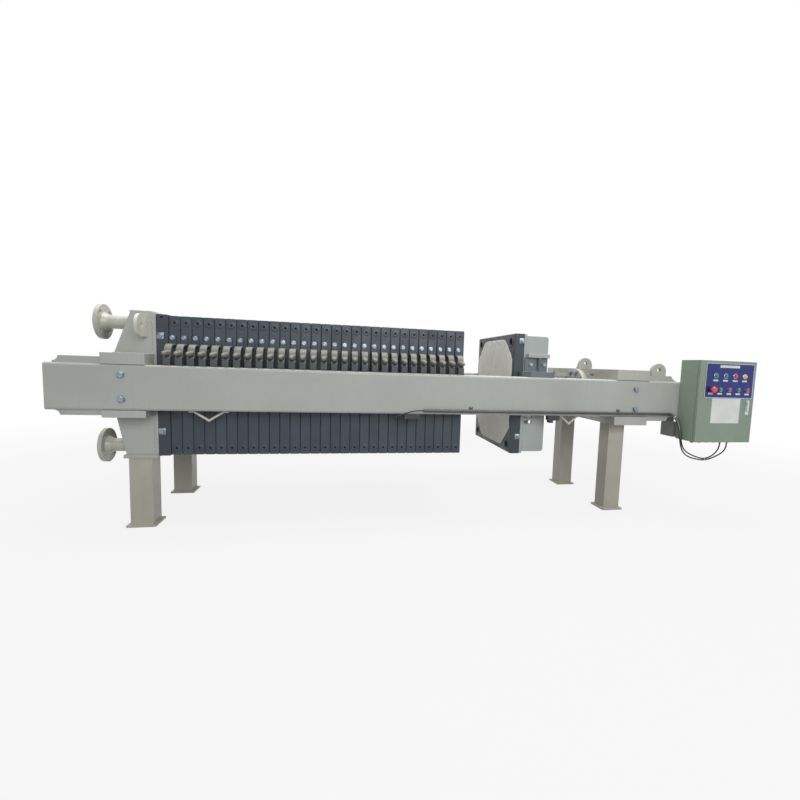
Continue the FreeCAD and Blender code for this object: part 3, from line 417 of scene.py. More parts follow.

# Dust and painted top light: faces that look up are painted paler in patches, partly settled dust and partly the light
# that falls on them from above.
dust_and_top_light, taken, given = effect("dust_and_top_light", {"Patches": 9.0}, {"Dust_with_top_light": "Float"})
tree = dust_and_top_light
up = put(tree, "ShaderNodeSeparateXYZ", {0: put(tree,
                                                "ShaderNodeNewGeometry").outputs["Normal"]}).outputs["Z"]
where = put(tree, "ShaderNodeTexCoord").outputs["Object"]
patches = put(tree, "ShaderNodeTexNoise", {"Vector": where, "Scale": taken["Patches"], "Detail": 6.0,
                                           "Roughness": 0.65}).outputs[0]
tree.links.new(calc(tree, "MULTIPLY", span(tree, up, 0.35, 0.95), span(tree, patches, 0.3, 0.62, 0.25, 1.0)),
               given["Dust_with_top_light"])

# Runs: faint upright streaks, as water and wiping leave them.
runs, taken, given = effect("runs", {"Width": 60.0, "Length": 2.5}, {"Streaks": "Float"})
tree = runs
where = put(tree, "ShaderNodeSeparateXYZ", {0: put(tree, "ShaderNodeTexCoord").outputs["Object"]}).outputs
stretched = put(tree, "ShaderNodeCombineXYZ", {
    "X": calc(tree, "MULTIPLY", where["X"], taken["Width"]), "Y": calc(tree, "MULTIPLY", where["Y"],
                                                                       taken["Width"]),
    "Z": calc(tree, "MULTIPLY", where["Z"], taken["Length"])}).outputs[0]
streak = put(tree, "ShaderNodeTexNoise", {"Vector": stretched, "Scale": 1.0, "Detail": 4.0,
                                          "Roughness": 0.6}).outputs[0]
tree.links.new(span(tree, streak, 0.48, 0.72), given["Streaks"])


def coated(name, coat, shade, rim, dust_and_lit_top, low_gloss, high_gloss, peel=0.00005, radius=0.0035, streaks=0.35,
           layer=0.25):
    """Sprayed coat: clouds between coat and shade, faint streaks, paler rims partly worn and partly a painted
    highlight, dust and painted top light on faces that look up, and the orange peel of the spray as a fine bump."""
    made, tree, shader = material(name, Specular_IOR_Level=0.5, Coat_Weight=layer, Coat_Roughness=0.22)
    skin = use(tree, surface_skin, Grain=420.0, Cloud=2.2)
    edges = use(tree, edge_wear_and_highlight, Radius=radius)
    dust_and_light = use(tree, dust_and_top_light)
    lines = use(tree, runs)
    colour = lay(tree, skin["Cloud"], coat, shade)
    colour = lay(tree, calc(tree, "MULTIPLY", lines["Streaks"], streaks), colour, shade)
    colour = lay(tree, calc(tree, "MULTIPLY", skin["Specks"], 0.25), colour, shade)
    # Paler rims along the edges: partly worn coat, partly a painted highlight.
    colour = lay(tree, calc(tree, "MULTIPLY", edges["Edge"], 0.75), colour, rim)
    # Paler faces that look up: partly dust, partly painted top light.
    colour = lay(tree, calc(tree, "MULTIPLY", dust_and_light["Dust_with_top_light"], 0.6), colour, dust_and_lit_top)
    join(tree, colour, shader, "Base Color")
    rough = span(tree, skin["Cloud"], 0, 1, low_gloss, high_gloss)
    join(tree, calc(tree, "ADD", rough, calc(tree, "MULTIPLY", dust_and_light["Dust_with_top_light"], 0.25)), shader, "Roughness")
    join(tree, bump(tree, skin["Grain"], peel, 0.6, edges["Normal"]), shader, "Normal")
    return made


def coat(material_given, *nodes):
    """Gives CAD nodes their finish."""
    for node in nodes:
        piece = frame["nodes"][node] if isinstance(frame["nodes"], dict) else bpy.data.objects[node]
        piece = bpy.data.objects[piece] if isinstance(piece, str) else piece
        if not piece.material_slots:
            piece.data.materials.append(material_given)
        for holder in piece.material_slots:
            holder.material = material_given


beam_paint = coated("beam_paint", tint(163, 166, 160), tint(153, 155, 148), tint(200, 200, 190),
                    tint(192, 190, 178), 0.26, 0.38)
coat(beam_paint, "beam_front", "beam_back")

# ------------------------------------------------------------------ beam bolts
# Two zinc-plated hexagon bolts with washers hold each end of each beam to the
# pads of the feed head and the ram head.
zinc = finish("zinc_plate", tint(150, 162, 172), tint(112, 124, 134), 900.0, 45.0, (0.24, 0.42),
              (0.0001, 0.3), Metallic=1.0)

AXES = {"x": ((0, 1, 0), (0, 0, 1), (1, 0, 0)), "y": ((1, 0, 0), (0, 0, 1), (0, 1, 0)),
        "z": ((1, 0, 0), (0, 1, 0), (0, 0, 1))}


def turned(centre, axis, sign, profile, outline):
    """Profile (distance along the axis, radius) round an axis: ring = centre + sign *
    distance * axis + radius * outline, where the outline is a unit circle or hexagon."""
    u, v, w = (np.array(a, float) for a in AXES[axis])
    p = np.asarray(profile, float)
    plane = outline[:, :1] * u + outline[:, 1:] * v
    return closed(np.asarray(centre, float) + sign * p[:, :1, None] * w + p[:, 1:, None] * plane[None])


HEXAGON = circle(6, math.pi / 6)


def bolt(centre, axis, sign, size, washer=True, sides=18):
    """Hexagon head with a chamfered top on a washer: the head is 1.5 times the thread
    across its flats and 0.63 times it high, the washer twice it across."""
    corner_r, head, under = size * 0.87, size * 0.63, size * 0.16
    blocks = [turned(centre, axis, sign, [(0, corner_r), (under + head * 0.82, corner_r),
                                          (under + head, corner_r * 0.84)], HEXAGON)]
    if washer:
        blocks.append(turned(centre, axis, sign, [(0, size), (under * 0.7, size), (under, size * 0.95)],
                             circle(sides)))
    return join_blocks(blocks)


beam_half = high("beam_front")[1], low("beam_front")[1]
beam_face = beam_half[1]
bolt_places = [(x, s * beam_face, z) for x,
               z in ((-127, 884), (-127, 752), (2999, 878), (3001, 745)) for s in (1, -1)]
add_piece("beam_bolts", join_blocks([bolt(p, "y", np.sign(p[1]), 20) for p in bolt_places]), "frame", zinc,
          bevel=0.5)

# ------------------------------------------------------------------ feed head
# Fixed head of cut and welded plates: thrust plate, webs, blocks over the beams,
# top and base plates, with lifting ears.  Stitch welds run down its seams.
head_paint = coated("head_paint", tint(166, 169, 164), tint(156, 158, 151), tint(206, 205, 194),
                    tint(196, 193, 180), 0.28, 0.42)
coat(head_paint, "thrust_plate", "feed_head_webs", "feed_head_blocks", "feed_head_covers")
# The lifting ears take a paler copy of the head's paint, in the tone of its lit tops: painted light.
ear_paint_lit_copy = coated("ear_paint_lit_copy", tint(196, 193, 180), tint(182, 178, 164), tint(222, 218, 204),
                   tint(210, 205, 190), 0.26, 0.4)
coat(ear_paint_lit_copy, "feed_lifting_ears")


def bead(start, end, across, away, radius=3.2, pitch=5.0):
    """Weld bead along a straight seam: a quarter-round section whose radius swells and
    shrinks with each ripple, radius * (1 + 0.14 * sine of the distance), tapered at both ends."""
    a, b = np.array(start, float), np.array(end, float)
    length = np.linalg.norm(b - a)
    count = max(4, int(length / pitch * 2))
    s = np.linspace(0, 1, count + 1)
    swell = radius * (1 + 0.14 * np.sin(s * length / pitch * 2 * math.pi)) * np.clip(np.minimum(s, 1 - s) * length / radius, 0.25, 1) ** 0.5
    t = np.linspace(0, math.pi / 2, 4)
    arc = np.column_stack([np.r_[0, np.cos(t)], np.r_[0, np.sin(t)]])
    u, v = np.array(across, float), np.array(away, float)
    line = a + s[:, None] * (b - a)
    return closed(line[:, None] + swell[:, None, None] * (arc[None, :, :1] * u + arc[None, :, 1:] * v))


def stitches(start, end, across, away, pieces, share=0.5, radius=3.2):
    """Several short beads evenly spaced along a seam."""
    a, b = np.array(start, float), np.array(end, float)
    cuts = (np.arange(pieces) + 0.5) / pieces
    half = share / pieces / 2
    return [bead(a + (c - half) * (b - a), a + (c + half) * (b - a), across, away, radius) for c in cuts]


web_y, web_back = 400.0, -20.0
head_top, head_base = high("feed_head_webs")[2], low("feed_head_webs")[2]
base_low = low("feed_head_covers")
base_high = high("feed_head_covers")
seams = []
for s in (1, -1):
    seams += stitches((web_back + 0.2, s * web_y, 955), (web_back + 0.2, s * web_y, head_top - 6), (-1, 0, 0),
                      (0, s, 0), 9, 0.55, 2.6)
    seams += stitches((web_back + 0.2, s * web_y, head_base + 4), (web_back + 0.2, s * web_y, 640),
                      (-1, 0, 0), (0, s, 0), 8, 0.55, 2.6)
    seams.append(bead((-216, s * 417.5, 1000.2), (-14, s * 401, 1000.2), (0, 0, 1), (0, s, 0), 4.5))
    seams.append(bead((-164, s * 400.2, head_base + 0.2), (-24, s * 400.2, head_base + 0.2), (0, s, 0),
                      (0, 0, 1), 4.0))
    seams.append(bead((-222, s * 537.6, 940.3), (-14, s * 537.6, 940.3), (0, s * 0.3, 0), (0, 0, 1), 2.5))
add_piece("feed_head_welds", join_blocks(seams), "frame", head_paint)

# ------------------------------------------------------------------ legs
# Four square tubes on foot plates, welded all round at top and bottom.
leg_paint = coated("leg_paint", tint(172, 168, 154), tint(156, 151, 137), tint(208, 203, 188),
                   tint(196, 189, 170), 0.34, 0.5, streaks=0.5)
coat(leg_paint, "feed_legs", "ram_legs")
leg_welds = []
for node, tops in (("feed_legs", high("feed_legs")[2]), ("ram_legs", high("ram_legs")[2])):
    lo, hi = low(node), high(node)
    middle_x = (lo[0] + hi[0]) / 2
    for s in (1, -1):
        cy = s * 353.0
        for z, up in ((12.2, 1), (tops - 0.2, -1)):
            for (ax, ay), (bx, by), out in (((-60, -60), (60, -60), (0, -1, 0)),
                                            ((-60, 60), (60, 60), (0, 1, 0)), ((-60, -60), (-60, 60),
                                                                               (-1, 0, 0)), ((60, -60),
                                                                                             (60, 60), (1, 0,
                                                                                                        0))):
                leg_welds.append(bead((middle_x + ax, cy + ay, z), (middle_x + bx, cy + by, z), out,
                                      (0, 0, up), 4.0))
add_piece("leg_welds", join_blocks(leg_welds), "frame", leg_paint)

# ------------------------------------------------------------------ process pipes
# Weld-neck flanges on short pipes: four corner outlets and the central feed, in
# the frame's paint but glossier; a weld ring joins each pipe to its neck.
pipe_paint = coated("pipe_paint", tint(174, 174, 163), tint(160, 159, 148), tint(212, 210, 198),
                    tint(198, 194, 180), 0.2, 0.32, layer=0.4)
coat(pipe_paint, "feed_pipe", "outlet_pipes")
PORTS = np.array([(0, 820), (335, 1172), (335, 468), (-335, 1172), (-335, 468)], float)
ring = circle(48)
t = np.linspace(0, math.pi * 2, 9)[:-1]
collar = np.column_stack([2.6 * np.cos(t), 2.6 * np.sin(t)])
pipe_rings = []
for y, z in PORTS:
    outward = np.column_stack([np.zeros(48), ring])
    ripple = 1 + 0.12 * np.sin(np.arange(48) * math.pi)[:, None]
    line = np.array([-253.5, y, z]) + 38.4 * outward
    pipe_rings.append(carried(collar, line, np.tile([1.0, 0, 0], (48, 1)), outward * ripple,
                              closed_line=True))
add_piece("pipe_weld_rings", join_blocks(pipe_rings), "frame", pipe_paint)

# ------------------------------------------------------------------ filter plates
# Twenty-nine moulded polypropylene chamber plates between two thick end plates.
# Each edge carries a shallow round boss with a blind hole, low and high.

# Tone of one plate: a fixed chance value for each pitch along the pack.
plate_tone, taken, given = effect("plate_tone", {"Start": 0.0, "Pitch": 0.06}, {"Tone": "Float"})
tree = plate_tone
along = put(tree, "ShaderNodeSeparateXYZ",
            {0: put(tree, "ShaderNodeTexCoord").outputs["Object"]}).outputs["X"]
count = calc(tree, "FLOOR", calc(tree, "DIVIDE", calc(tree, "SUBTRACT", along, taken["Start"]),
                                 taken["Pitch"]))
tree.links.new(put(tree, "ShaderNodeTexWhiteNoise", {"W": count}, noise_dimensions="1D").outputs["Value"],
               given["Tone"])


def moulded(name, body, shade, rim, dust_and_lit_top, rough=(0.38, 0.52), start=0.0, mark=0.5):
    """Moulded plastic: two tones from plate to plate, clouds, upright streaks, a paler rim partly worn
    and partly a painted highlight, dust and painted top light on upward faces, and a fine moulded grain."""
    made, tree, shader = material(name, Specular_IOR_Level=0.45)
    skin = use(tree, surface_skin, Grain=700.0, Cloud=9.0)
    edges = use(tree, edge_wear_and_highlight, Radius=0.0028, Breaks=90.0)
    dust_and_light = use(tree, dust_and_top_light, Patches=22.0)
    lines = use(tree, runs, Width=90.0, Length=3.0)
    tone = use(tree, plate_tone, Start=start, Pitch=0.06)["Tone"]
    colour = lay(tree, calc(tree, "ADD", calc(tree, "MULTIPLY", tone, 0.55),
                            calc(tree, "MULTIPLY", skin["Cloud"], 0.45)), body, shade)
    colour = lay(tree, calc(tree, "MULTIPLY", lines["Streaks"], mark), colour, shade)
    # Paler rim along the edges: partly wear, partly a painted highlight.
    colour = lay(tree, calc(tree, "MULTIPLY", edges["Edge"], 0.5), colour, rim)
    # Paler faces that look up: partly dust, partly painted top light.
    colour = lay(tree, calc(tree, "MULTIPLY", dust_and_light["Dust_with_top_light"], 0.7), colour, dust_and_lit_top)
    join(tree, colour, shader, "Base Color")
    join(tree, span(tree, skin["Cloud"], 0, 1, *rough), shader, "Roughness")
    join(tree, bump(tree, skin["Grain"], 0.00012, 0.4, edges["Normal"]), shader, "Normal")
    return made


pack_start = (65.0 + contact_face) / 1000
plate_plastic = moulded("plate_plastic", tint(56, 66, 75), tint(44, 52, 60), tint(84, 95, 106),
                        tint(112, 114, 110), start=pack_start)
end_plastic = moulded("end_plate_plastic", tint(49, 57, 65), tint(41, 48, 55), tint(78, 88, 97),
                      tint(104, 106, 102), start=pack_start)
coat(plate_plastic, "filter_plates_odd", "filter_plates_even")
coat(end_plastic, "head_plate", "tail_plate")
# Near-black colour for the shallow boss holes and the head plate's hole: painted shade standing for deep holes.
painted_hole_shade, tree, shader = material("blind_hole_painted_shade", Specular_IOR_Level=0.2, Roughness=0.8)
skin = use(tree, surface_skin, Grain=600.0, Cloud=80.0)
join(tree, lay(tree, skin["Cloud"], tint(17, 20, 23), tint(27, 31, 35)), shader, "Base Color")

PLATES, PITCH, PACK_X = 29, 60.0, 65.0
plate_x = PACK_X + PITCH * (np.arange(PLATES) + 0.5)


def repeated(shape, places):
    """One shape at many places: its points plus each place, its faces moved on for each copy."""
    points, faces = shape[0], shape[1]
    marks = shape[2] if len(shape) > 2 else [np.zeros(len(face), int) for face in faces]
    places = np.asarray(places, float)
    step = np.arange(len(places))[:, None, None] * len(points)
    return ((places[:, None] + points[None]).reshape(-1, 3),
            [(face[None] + step).reshape(-1, face.shape[1]) for face in faces],
            [np.tile(m, len(places)) for m in marks])


def boss(sign):
    """Raised ring 42 mm across whose middle sinks into a 12 mm hole; the shallow hole is painted near black, a painted
    shade standing for a deep hole.
    """
    profile = [(-0.4, 21.5), (1.2, 21.2), (1.9, 19.8), (1.9, 8.4), (1.4, 6.8), (0.25, 6.0)]
    points, (skin_faces, ends) = turned((0, 0, 0), "y", sign, profile, circle(20))
    marks = np.zeros(len(skin_faces), int)
    marks[-20:] = 1
    return points, [skin_faces, ends], [marks, np.array([0, 1])]


for side, sign in (("front", -1), ("back", 1)):
    spots = [(x, sign * 400.0, 820 + dz) for dz in (361.0, -361.0) for x in plate_x]
    add_piece("plate_bosses_" + side, repeated(boss(sign), spots), "frame", [plate_plastic, painted_hole_shade])
# A thin disc painted near black stands for the head plate's hole: painted shade.
add_piece("head_plate_hole", join_blocks([turned((31, s * 405, 1209), "y", s,
                                                 [(-0.3, 6.5), (0.3, 6.0),
                                                  (0.3, 3.0)], circle(16)) for s in (1, -1)]),
          "frame", painted_hole_shade)

# ------------------------------------------------------------------ plate handles
# Each plate hangs on the beams by two moulded handles: a strap bolted flat on
# the plate's edge, a broad band that bows out over the beam, a blunt nose for
# the hand and a foot that slides on the beam.
BAND_W, BAND_T, STRAP_FACE = 37.0, 12.0, 8.0
HANDLE_X = plate_x - 10.0
BAND_TOP, ARM_Y, BEAM_TOP = 1056.0, 486.0, 940.0
NOSE_Z, NOSE_TIP = 1008.0, 75.0


def band(sign):
    """Rounded rectangle carried along straight, quarter circle, straight: its thickness is
    12 mm down to the foot, then swells smoothly to 41 mm."""
    turn_r = 44.0
    a = np.linspace(0, math.pi / 2, 11)
    y = np.r_[401.0, 420.0, ARM_Y - turn_r + turn_r * np.sin(a), ARM_Y, ARM_Y + 1, ARM_Y + 3, ARM_Y + 4,
              ARM_Y + 4, ARM_Y + 4]
    z = np.r_[BAND_TOP, BAND_TOP, BAND_TOP - turn_r + turn_r * np.cos(a), 996, 991, 986, 980, 946,
              BEAM_TOP + 0.4]
    thick = np.r_[12.5, 12, np.full(11, 12.0), 12.5, 18, 32, 40, 41, 38]
    ty, tz = np.gradient(y), np.gradient(z)
    long = np.hypot(ty, tz)
    side_y, side_z = np.where(z < 998, 1.0, -tz / long), np.where(z < 998, 0.0, ty / long)
    corner = 3.2
    q = (np.arange(4)[:, None] + np.linspace(0, 1, 4)[None]) * math.pi / 2
    mid = np.array([(1, 1), (-1, 1), (-1, -1), (1, -1)], float)
    u = (mid[:, None, 0] * (BAND_W / 2 - corner) + corner * np.cos(q)).ravel()
    v = (mid[:, None, 1] + 0 * q).ravel()[None] * (thick[:, None] / 2 - corner) + (corner * np.sin(q)).ravel()[None]
    points = np.stack([np.broadcast_to(u, v.shape), sign * (y[:, None] + v * side_y[:, None]),
                       z[:, None] + v * side_z[:, None]], -1)
    return closed(points)


def nose(sign):
    """Superellipse rings along the reach: width and height follow the fourth root of
    one minus the reach to the fifth, and the height flares where it leaves the band."""
    s = np.array([0, 0.06, 0.14, 0.26, 0.42, 0.58, 0.72, 0.84, 0.92, 0.97, 0.995])
    close = (1 - s ** 4.2) ** 0.42
    wide = (36.5 - 6 * s) * close / 2
    tall = (30 - 3 * s + 15 * np.exp(-s / 0.12)) * close / 2
    drop = NOSE_Z - 2.0 * s - 2.0 * np.exp(-s / 0.12)
    c = circle(16, math.pi / 16)
    ring = np.sign(c) * np.abs(c) ** 0.72
    points = np.stack([ring[None, :, 0] * wide[:, None], np.broadcast_to(sign * (ARM_Y - 3 + s * NOSE_TIP)[:, None], (len(s), 16)), drop[:, None] + ring[None, :, 1] * tall[:, None]], -1)
    return closed(points)


handle_plastic, tree, shader = material("handle_plastic", Specular_IOR_Level=0.4)
skin = use(tree, surface_skin, Grain=520.0, Cloud=12.0)
lines = use(tree, runs, Width=210.0, Length=5.0)
edges = use(tree, edge_wear_and_highlight, Radius=0.002, Breaks=120.0)
dust_and_light = use(tree, dust_and_top_light, Patches=30.0)
tone = use(tree, plate_tone, Start=pack_start - 0.01, Pitch=0.06)["Tone"]
height = put(tree, "ShaderNodeSeparateXYZ",
             {0: put(tree, "ShaderNodeTexCoord").outputs["Object"]}).outputs["Z"]
body = lay(tree, calc(tree, "ADD", calc(tree, "MULTIPLY", tone, 0.5),
                      calc(tree, "MULTIPLY", skin["Cloud"], 0.5)), tint(118, 118, 108), tint(102, 103, 97))
body = lay(tree, calc(tree, "MULTIPLY", lines["Streaks"], 0.55), body, tint(96, 97, 93))
# Painted shade: darker from just above the nose down to the foot, where the nose shades the band.
body = lay(tree, span(tree, height, 1.002, 0.985, 0.0, 0.85), body, tint(66, 71, 75))
# Paler edges: partly wear, partly a painted highlight.
body = lay(tree, calc(tree, "MULTIPLY", edges["Edge"], 0.35), body, tint(158, 156, 144))
# Paler faces that look up: partly dust, partly painted top light.
body = lay(tree, calc(tree, "MULTIPLY", dust_and_light["Dust_with_top_light"], 0.55), body, tint(150, 147, 132))
join(tree, body, shader, "Base Color")
join(tree, span(tree, skin["Cloud"], 0, 1, 0.42, 0.6), shader, "Roughness")
join(tree, bump(tree, skin["Grain"], 0.00015, 0.5, edges["Normal"]), shader, "Normal")

strap_outline = rounded(BAND_W, 62, 6.0)
for side, sign in (("front", -1), ("back", 1)):
    arm = join_blocks([band(sign), nose(sign)])
    places = np.column_stack([HANDLE_X, np.zeros(PLATES), np.zeros(PLATES)])
    arms = add_piece("handle_arms_" + side, repeated(arm, places), "frame", handle_plastic)
    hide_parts("plate_handles_" + side)
    reach = np.array([400.0, 400.0 + STRAP_FACE - 1.2, 400.0 + STRAP_FACE])
    inset = np.array([1.0, 1.0, 0.96])
    rings = np.stack([strap_outline[None, :, 0] * inset[:, None], np.broadcast_to(sign * reach[:, None], (3, len(strap_outline))), 1082 + strap_outline[None, :, 1] * inset[:, None]], -1)
    add_piece("handle_straps_" + side, repeated(closed(rings), places), "frame", plate_plastic)
    heads = bolt((0, sign * (400 + STRAP_FACE), 1096), "y", sign, 14, sides=16)
    add_piece("strap_bolts_" + side, repeated(heads, places), "frame", zinc)

# ------------------------------------------------------------------ end plate clips
# Folded zinc-plated clips, one high and one low on each side, hold the end
# plates to the feed head and to the pusher; each has one screw.


def clip(x0, x1, z0, z1, face, sign):
    """A 3 mm plate with rounded corners, a raised middle and a screw."""
    wide, tall = x1 - x0, z1 - z0
    outline = rounded(wide, tall, 3.0)
    reach, inset = np.array([0, 2.2, 3.0]), np.array([1.0, 1.0, 0.93])
    centre = np.array([(x0 + x1) / 2, sign * face, (z0 + z1) / 2])
    rings = np.stack([centre[0] + outline[None, :, 0] * inset[:, None],
                      np.broadcast_to(sign * (face + reach)[:, None], (3, len(outline))),
                      centre[2] + outline[None, :, 1] * inset[:, None]], -1)
    return join_blocks([closed(rings), bolt(centre + np.array([4, sign * 3, -2]), "y", sign, 11, sides=16)])


add_piece("head_plate_clips", join_blocks([clip(4, 40, z0, z1, 405, s) for z0, z1 in ((1087, 1124), (540, 576)) for s in (-1, 1)]), "frame", zinc)
add_piece("tail_plate_clips", join_blocks([clip(2186, 2221, z0, z1, 405, s) for z0,
                                           z1 in ((1160, 1196), (514, 548)) for s in (-1, 1)]),
          "pusher", zinc)

# ------------------------------------------------------------------ tail plate ports
# Each corner port of the tail plate has a raised sealing rim round its bore.
port_rim = turned((0, 0, 0), "x", -1, [(-0.4, 38.5), (1.4, 38.0), (2.2, 36.5), (2.2, 27.0), (1.2, 25.6),
                                       (-0.4, 25.2)], circle(40))
u = np.arange(40)
rim_faces = np.vstack([grid(6, 40), np.column_stack([5 * 40 + u, 5 * 40 + (u + 1) % 40, (u + 1) % 40, u])])
add_piece("tail_port_rims", repeated((port_rim[0], [rim_faces]), [(2154, y, z) for y, z in PORTS[1:]]),
          "pusher", end_plastic)

# ------------------------------------------------------------------ filter cloth
# Woven polypropylene filter cloth, cut to an eight-sided shape and stretched over
# the face of the tail plate; its hem is sewn down and a tape tie holds its top.
cloth_weave, tree, shader = material("filter_cloth", Sheen_Weight=0.25, Sheen_Roughness=0.5,
                                     Specular_IOR_Level=0.2)
shader.inputs["Sheen Tint"].default_value = (0.95, 0.93, 0.88, 1)
pattern = put(tree, "ShaderNodeUVMap", uv_map="cloth").outputs[0]
warp = put(tree, "ShaderNodeTexWave", {"Vector": pattern, "Scale": 260.0, "Distortion": 0.4, "Detail": 1.0},
           wave_type="BANDS", bands_direction="X").outputs["Fac"]
weft = put(tree, "ShaderNodeTexWave", {"Vector": pattern, "Scale": 260.0, "Distortion": 0.4, "Detail": 1.0},
           wave_type="BANDS", bands_direction="Y").outputs["Fac"]
weave = calc(tree, "MAXIMUM", warp, weft)
skin = use(tree, surface_skin, Grain=300.0, Cloud=6.0)
colour = lay(tree, skin["Cloud"], tint(236, 233, 224), tint(224, 220, 210))
colour = lay(tree, calc(tree, "MULTIPLY", weave, 0.2), colour, tint(242, 239, 231))
colour = lay(tree, calc(tree, "MULTIPLY", skin["Specks"], 0.2), colour, tint(170, 164, 150))
join(tree, colour, shader, "Base Color")
join(tree, span(tree, skin["Cloud"], 0, 1, 0.75, 0.9), shader, "Roughness")
join(tree, bump(tree, weave, 0.0003, 0.6), shader, "Normal")

CLOTH_HALF_H, CLOTH_HALF_W, CLOTH_TOP_W, CLOTH_KNEE = 374.0, 377.0, 222.0, 232.0
ROWS, COLS = 121, 97
v = np.linspace(-1, 1, ROWS)[:, None]
u = np.linspace(-1, 1, COLS)[None]
half_height = np.abs(v) * CLOTH_HALF_H
taper = np.clip((half_height - CLOTH_KNEE) / (CLOTH_HALF_H - CLOTH_KNEE), 0, 1)
half_width = CLOTH_HALF_W - (CLOTH_HALF_W - CLOTH_TOP_W) * (taper ** 1.12) - 8 * np.clip((np.abs(v) - 0.97) / 0.03, 0, 1) ** 2 * 6
cy, cz = u * half_width, v * CLOTH_HALF_H + 0 * u
edge_near = np.minimum((1 - np.abs(u)) * half_width, (1 - np.abs(v)) * CLOTH_HALF_H)
hem = np.exp(-((edge_near - 9) / 3.2) ** 2) * -0.9
rim_lift = 1.6 * np.exp(-edge_near / 4.0) * (0.5 + 0.5 * np.sin(cy / 17.0 + cz / 23.0))
tie_y, tie_z = -40.0, 366.0
near_tie = np.hypot(cy - tie_y, cz - tie_z)
angle = np.arctan2(cy - tie_y, tie_z - cz)
folds = 3.6 * np.exp(-near_tie / 85.0) * (0.5 + 0.5 * np.cos(angle * 9.0)) * np.clip(near_tie / 25, 0, 1)
corner_folds = 0
for sy, sz in ((1, 1), (-1, 1), (1, -1), (-1, -1)):
    d = np.hypot(cy - sy * 300, cz - sz * 300)
    along_edge = (cy * sy + cz * sz) / math.sqrt(2)
    corner_folds = corner_folds + 2.2 * np.exp(-d / 70.0) * (0.5 + 0.5 * np.sin((cy * sz - cz * sy) / 15.0 + sy)) * np.clip(edge_near / 18, 0, 1)
belly = 2.4 * np.cos(u * math.pi / 2) ** 2 * np.cos(v * math.pi / 2) ** 2 + 0.5 * np.sin(cy / 60 + 1) * np.sin(cz / 85)
lift = 2.0 + belly + hem + rim_lift + folds + corner_folds
cloth_points = np.stack([2154.0 - lift, cy, 820 + cz], -1).reshape(-1, 3)
cloth = add_piece("tail_cloth", (cloth_points, [grid(ROWS, COLS, wrap=False)]), "pusher", cloth_weave)
uv = cloth.data.uv_layers.new(name="cloth")
corner_of = np.zeros(len(cloth.data.loops), int)
cloth.data.loops.foreach_get("vertex_index", corner_of)
uv.data.foreach_set("uv", (cloth_points[corner_of][:, 1:] / 1000).ravel())
if cloth.data.polygons[0].normal.x > 0:
    cloth.data.flip_normals()
thick = cloth.modifiers.new("thickness", "SOLIDIFY")
thick.thickness, thick.offset = 0.0012, -1
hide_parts("filter_cloth")
t = np.linspace(0, 1, 15)
tape_line = np.column_stack([2154 - 6.0 - 1.8 * np.sin(t * math.pi), tie_y - 3 + 8 * np.sin(t * 2.6),
                             820 + tie_z - 38 * t])
tape = carried(rounded(9.0, 1.2, 0.5, 3), tape_line, np.tile([0, 1.0, 0], (15, 1)),
               np.tile([1.0, 0, 0], (15, 1)))
cloth_tape = add_piece("cloth_tie_tape", tape, "pusher", nylon)

# ------------------------------------------------------------------ pusher
# Welded pressing plate, its slide carriers and the ground piston rod.
press_paint = coated("press_paint", tint(158, 164, 160), tint(146, 151, 147), tint(200, 202, 194),
                     tint(192, 190, 178), 0.28, 0.4)
coat(press_paint, "pressing_plate")
carrier_paint = coated("carrier_paint", tint(98, 107, 112), tint(86, 94, 99), tint(136, 144, 148),
                       tint(140, 141, 134), 0.3, 0.42)
coat(carrier_paint, "slide_carriers")
rod_chrome = finish("rod_chrome", tint(200, 203, 207), tint(176, 180, 186), 1500.0, 14.0, (0.12, 0.24),
                    Metallic=1.0)
coat(rod_chrome, "piston_rod")
carrier_bolts = [bolt((x, s * 412, 1024), "y", s, 18) for x in (2272, 2369) for s in (-1, 1)]
add_piece("carrier_bolts", join_blocks(carrier_bolts), "pusher", zinc, bevel=0.4)
press_lo, press_hi = low("pressing_plate"), high("pressing_plate")
press_seams = []
for s in (-1, 1):
    for z0, z1 in ((1100, 1206), (434, 600)):
        press_seams += stitches((2242.2, s * 400.2, z0), (2242.2, s * 400.2, z1), (1, 0, 0), (0, s, 0), 4,
                                0.6, 2.6)
add_piece("pressing_plate_welds", join_blocks(press_seams), "pusher", press_paint)

# ------------------------------------------------------------------ ram head and cylinder
# Welded cross plates between the beams carry the hydraulic cylinder, whose
# flange is held by a ring of bolts; lifting lugs stand on top.
ram_paint = coated("ram_paint", tint(170, 170, 162), tint(158, 157, 148), tint(208, 206, 196),
                   tint(198, 195, 184), 0.3, 0.44)
coat(ram_paint, "ram_head", "ram_lifting_lugs")
cylinder_paint = coated("cylinder_paint", tint(170, 169, 160), tint(156, 155, 146), tint(208, 206, 194),
                        tint(196, 193, 180), 0.22, 0.34, layer=0.4)
coat(cylinder_paint, "ram_cylinder")
flange_x = low("ram_cylinder")[0]
a = np.arange(12) * math.pi / 6 + math.pi / 12
flange_bolts = [bolt((flange_x, 158 * math.cos(k), 820 + 158 * math.sin(k)), "x", -1, 20,
                     washer=False) for k in a]
add_piece("ram_flange_bolts", join_blocks(flange_bolts), "frame", zinc, bevel=0.5)

# ------------------------------------------------------------------ tray hooks, switches and conduit
# Bent rods under the beams, two small end switches, and the grey conduit that
# saddle clips hold along the front beam.
hook_paint = coated("hook_paint", tint(205, 201, 187), tint(190, 186, 172), tint(226, 222, 210),
                    tint(210, 205, 190), 0.3, 0.45)
coat(hook_paint, "tray_hooks")
switch_plastic, tree, shader = material("switch_plastic", Specular_IOR_Level=0.4)
skin = use(tree, surface_skin, Grain=800.0, Cloud=40.0)
edges = use(tree, edge_wear_and_highlight, Radius=0.0015, Breaks=150.0)
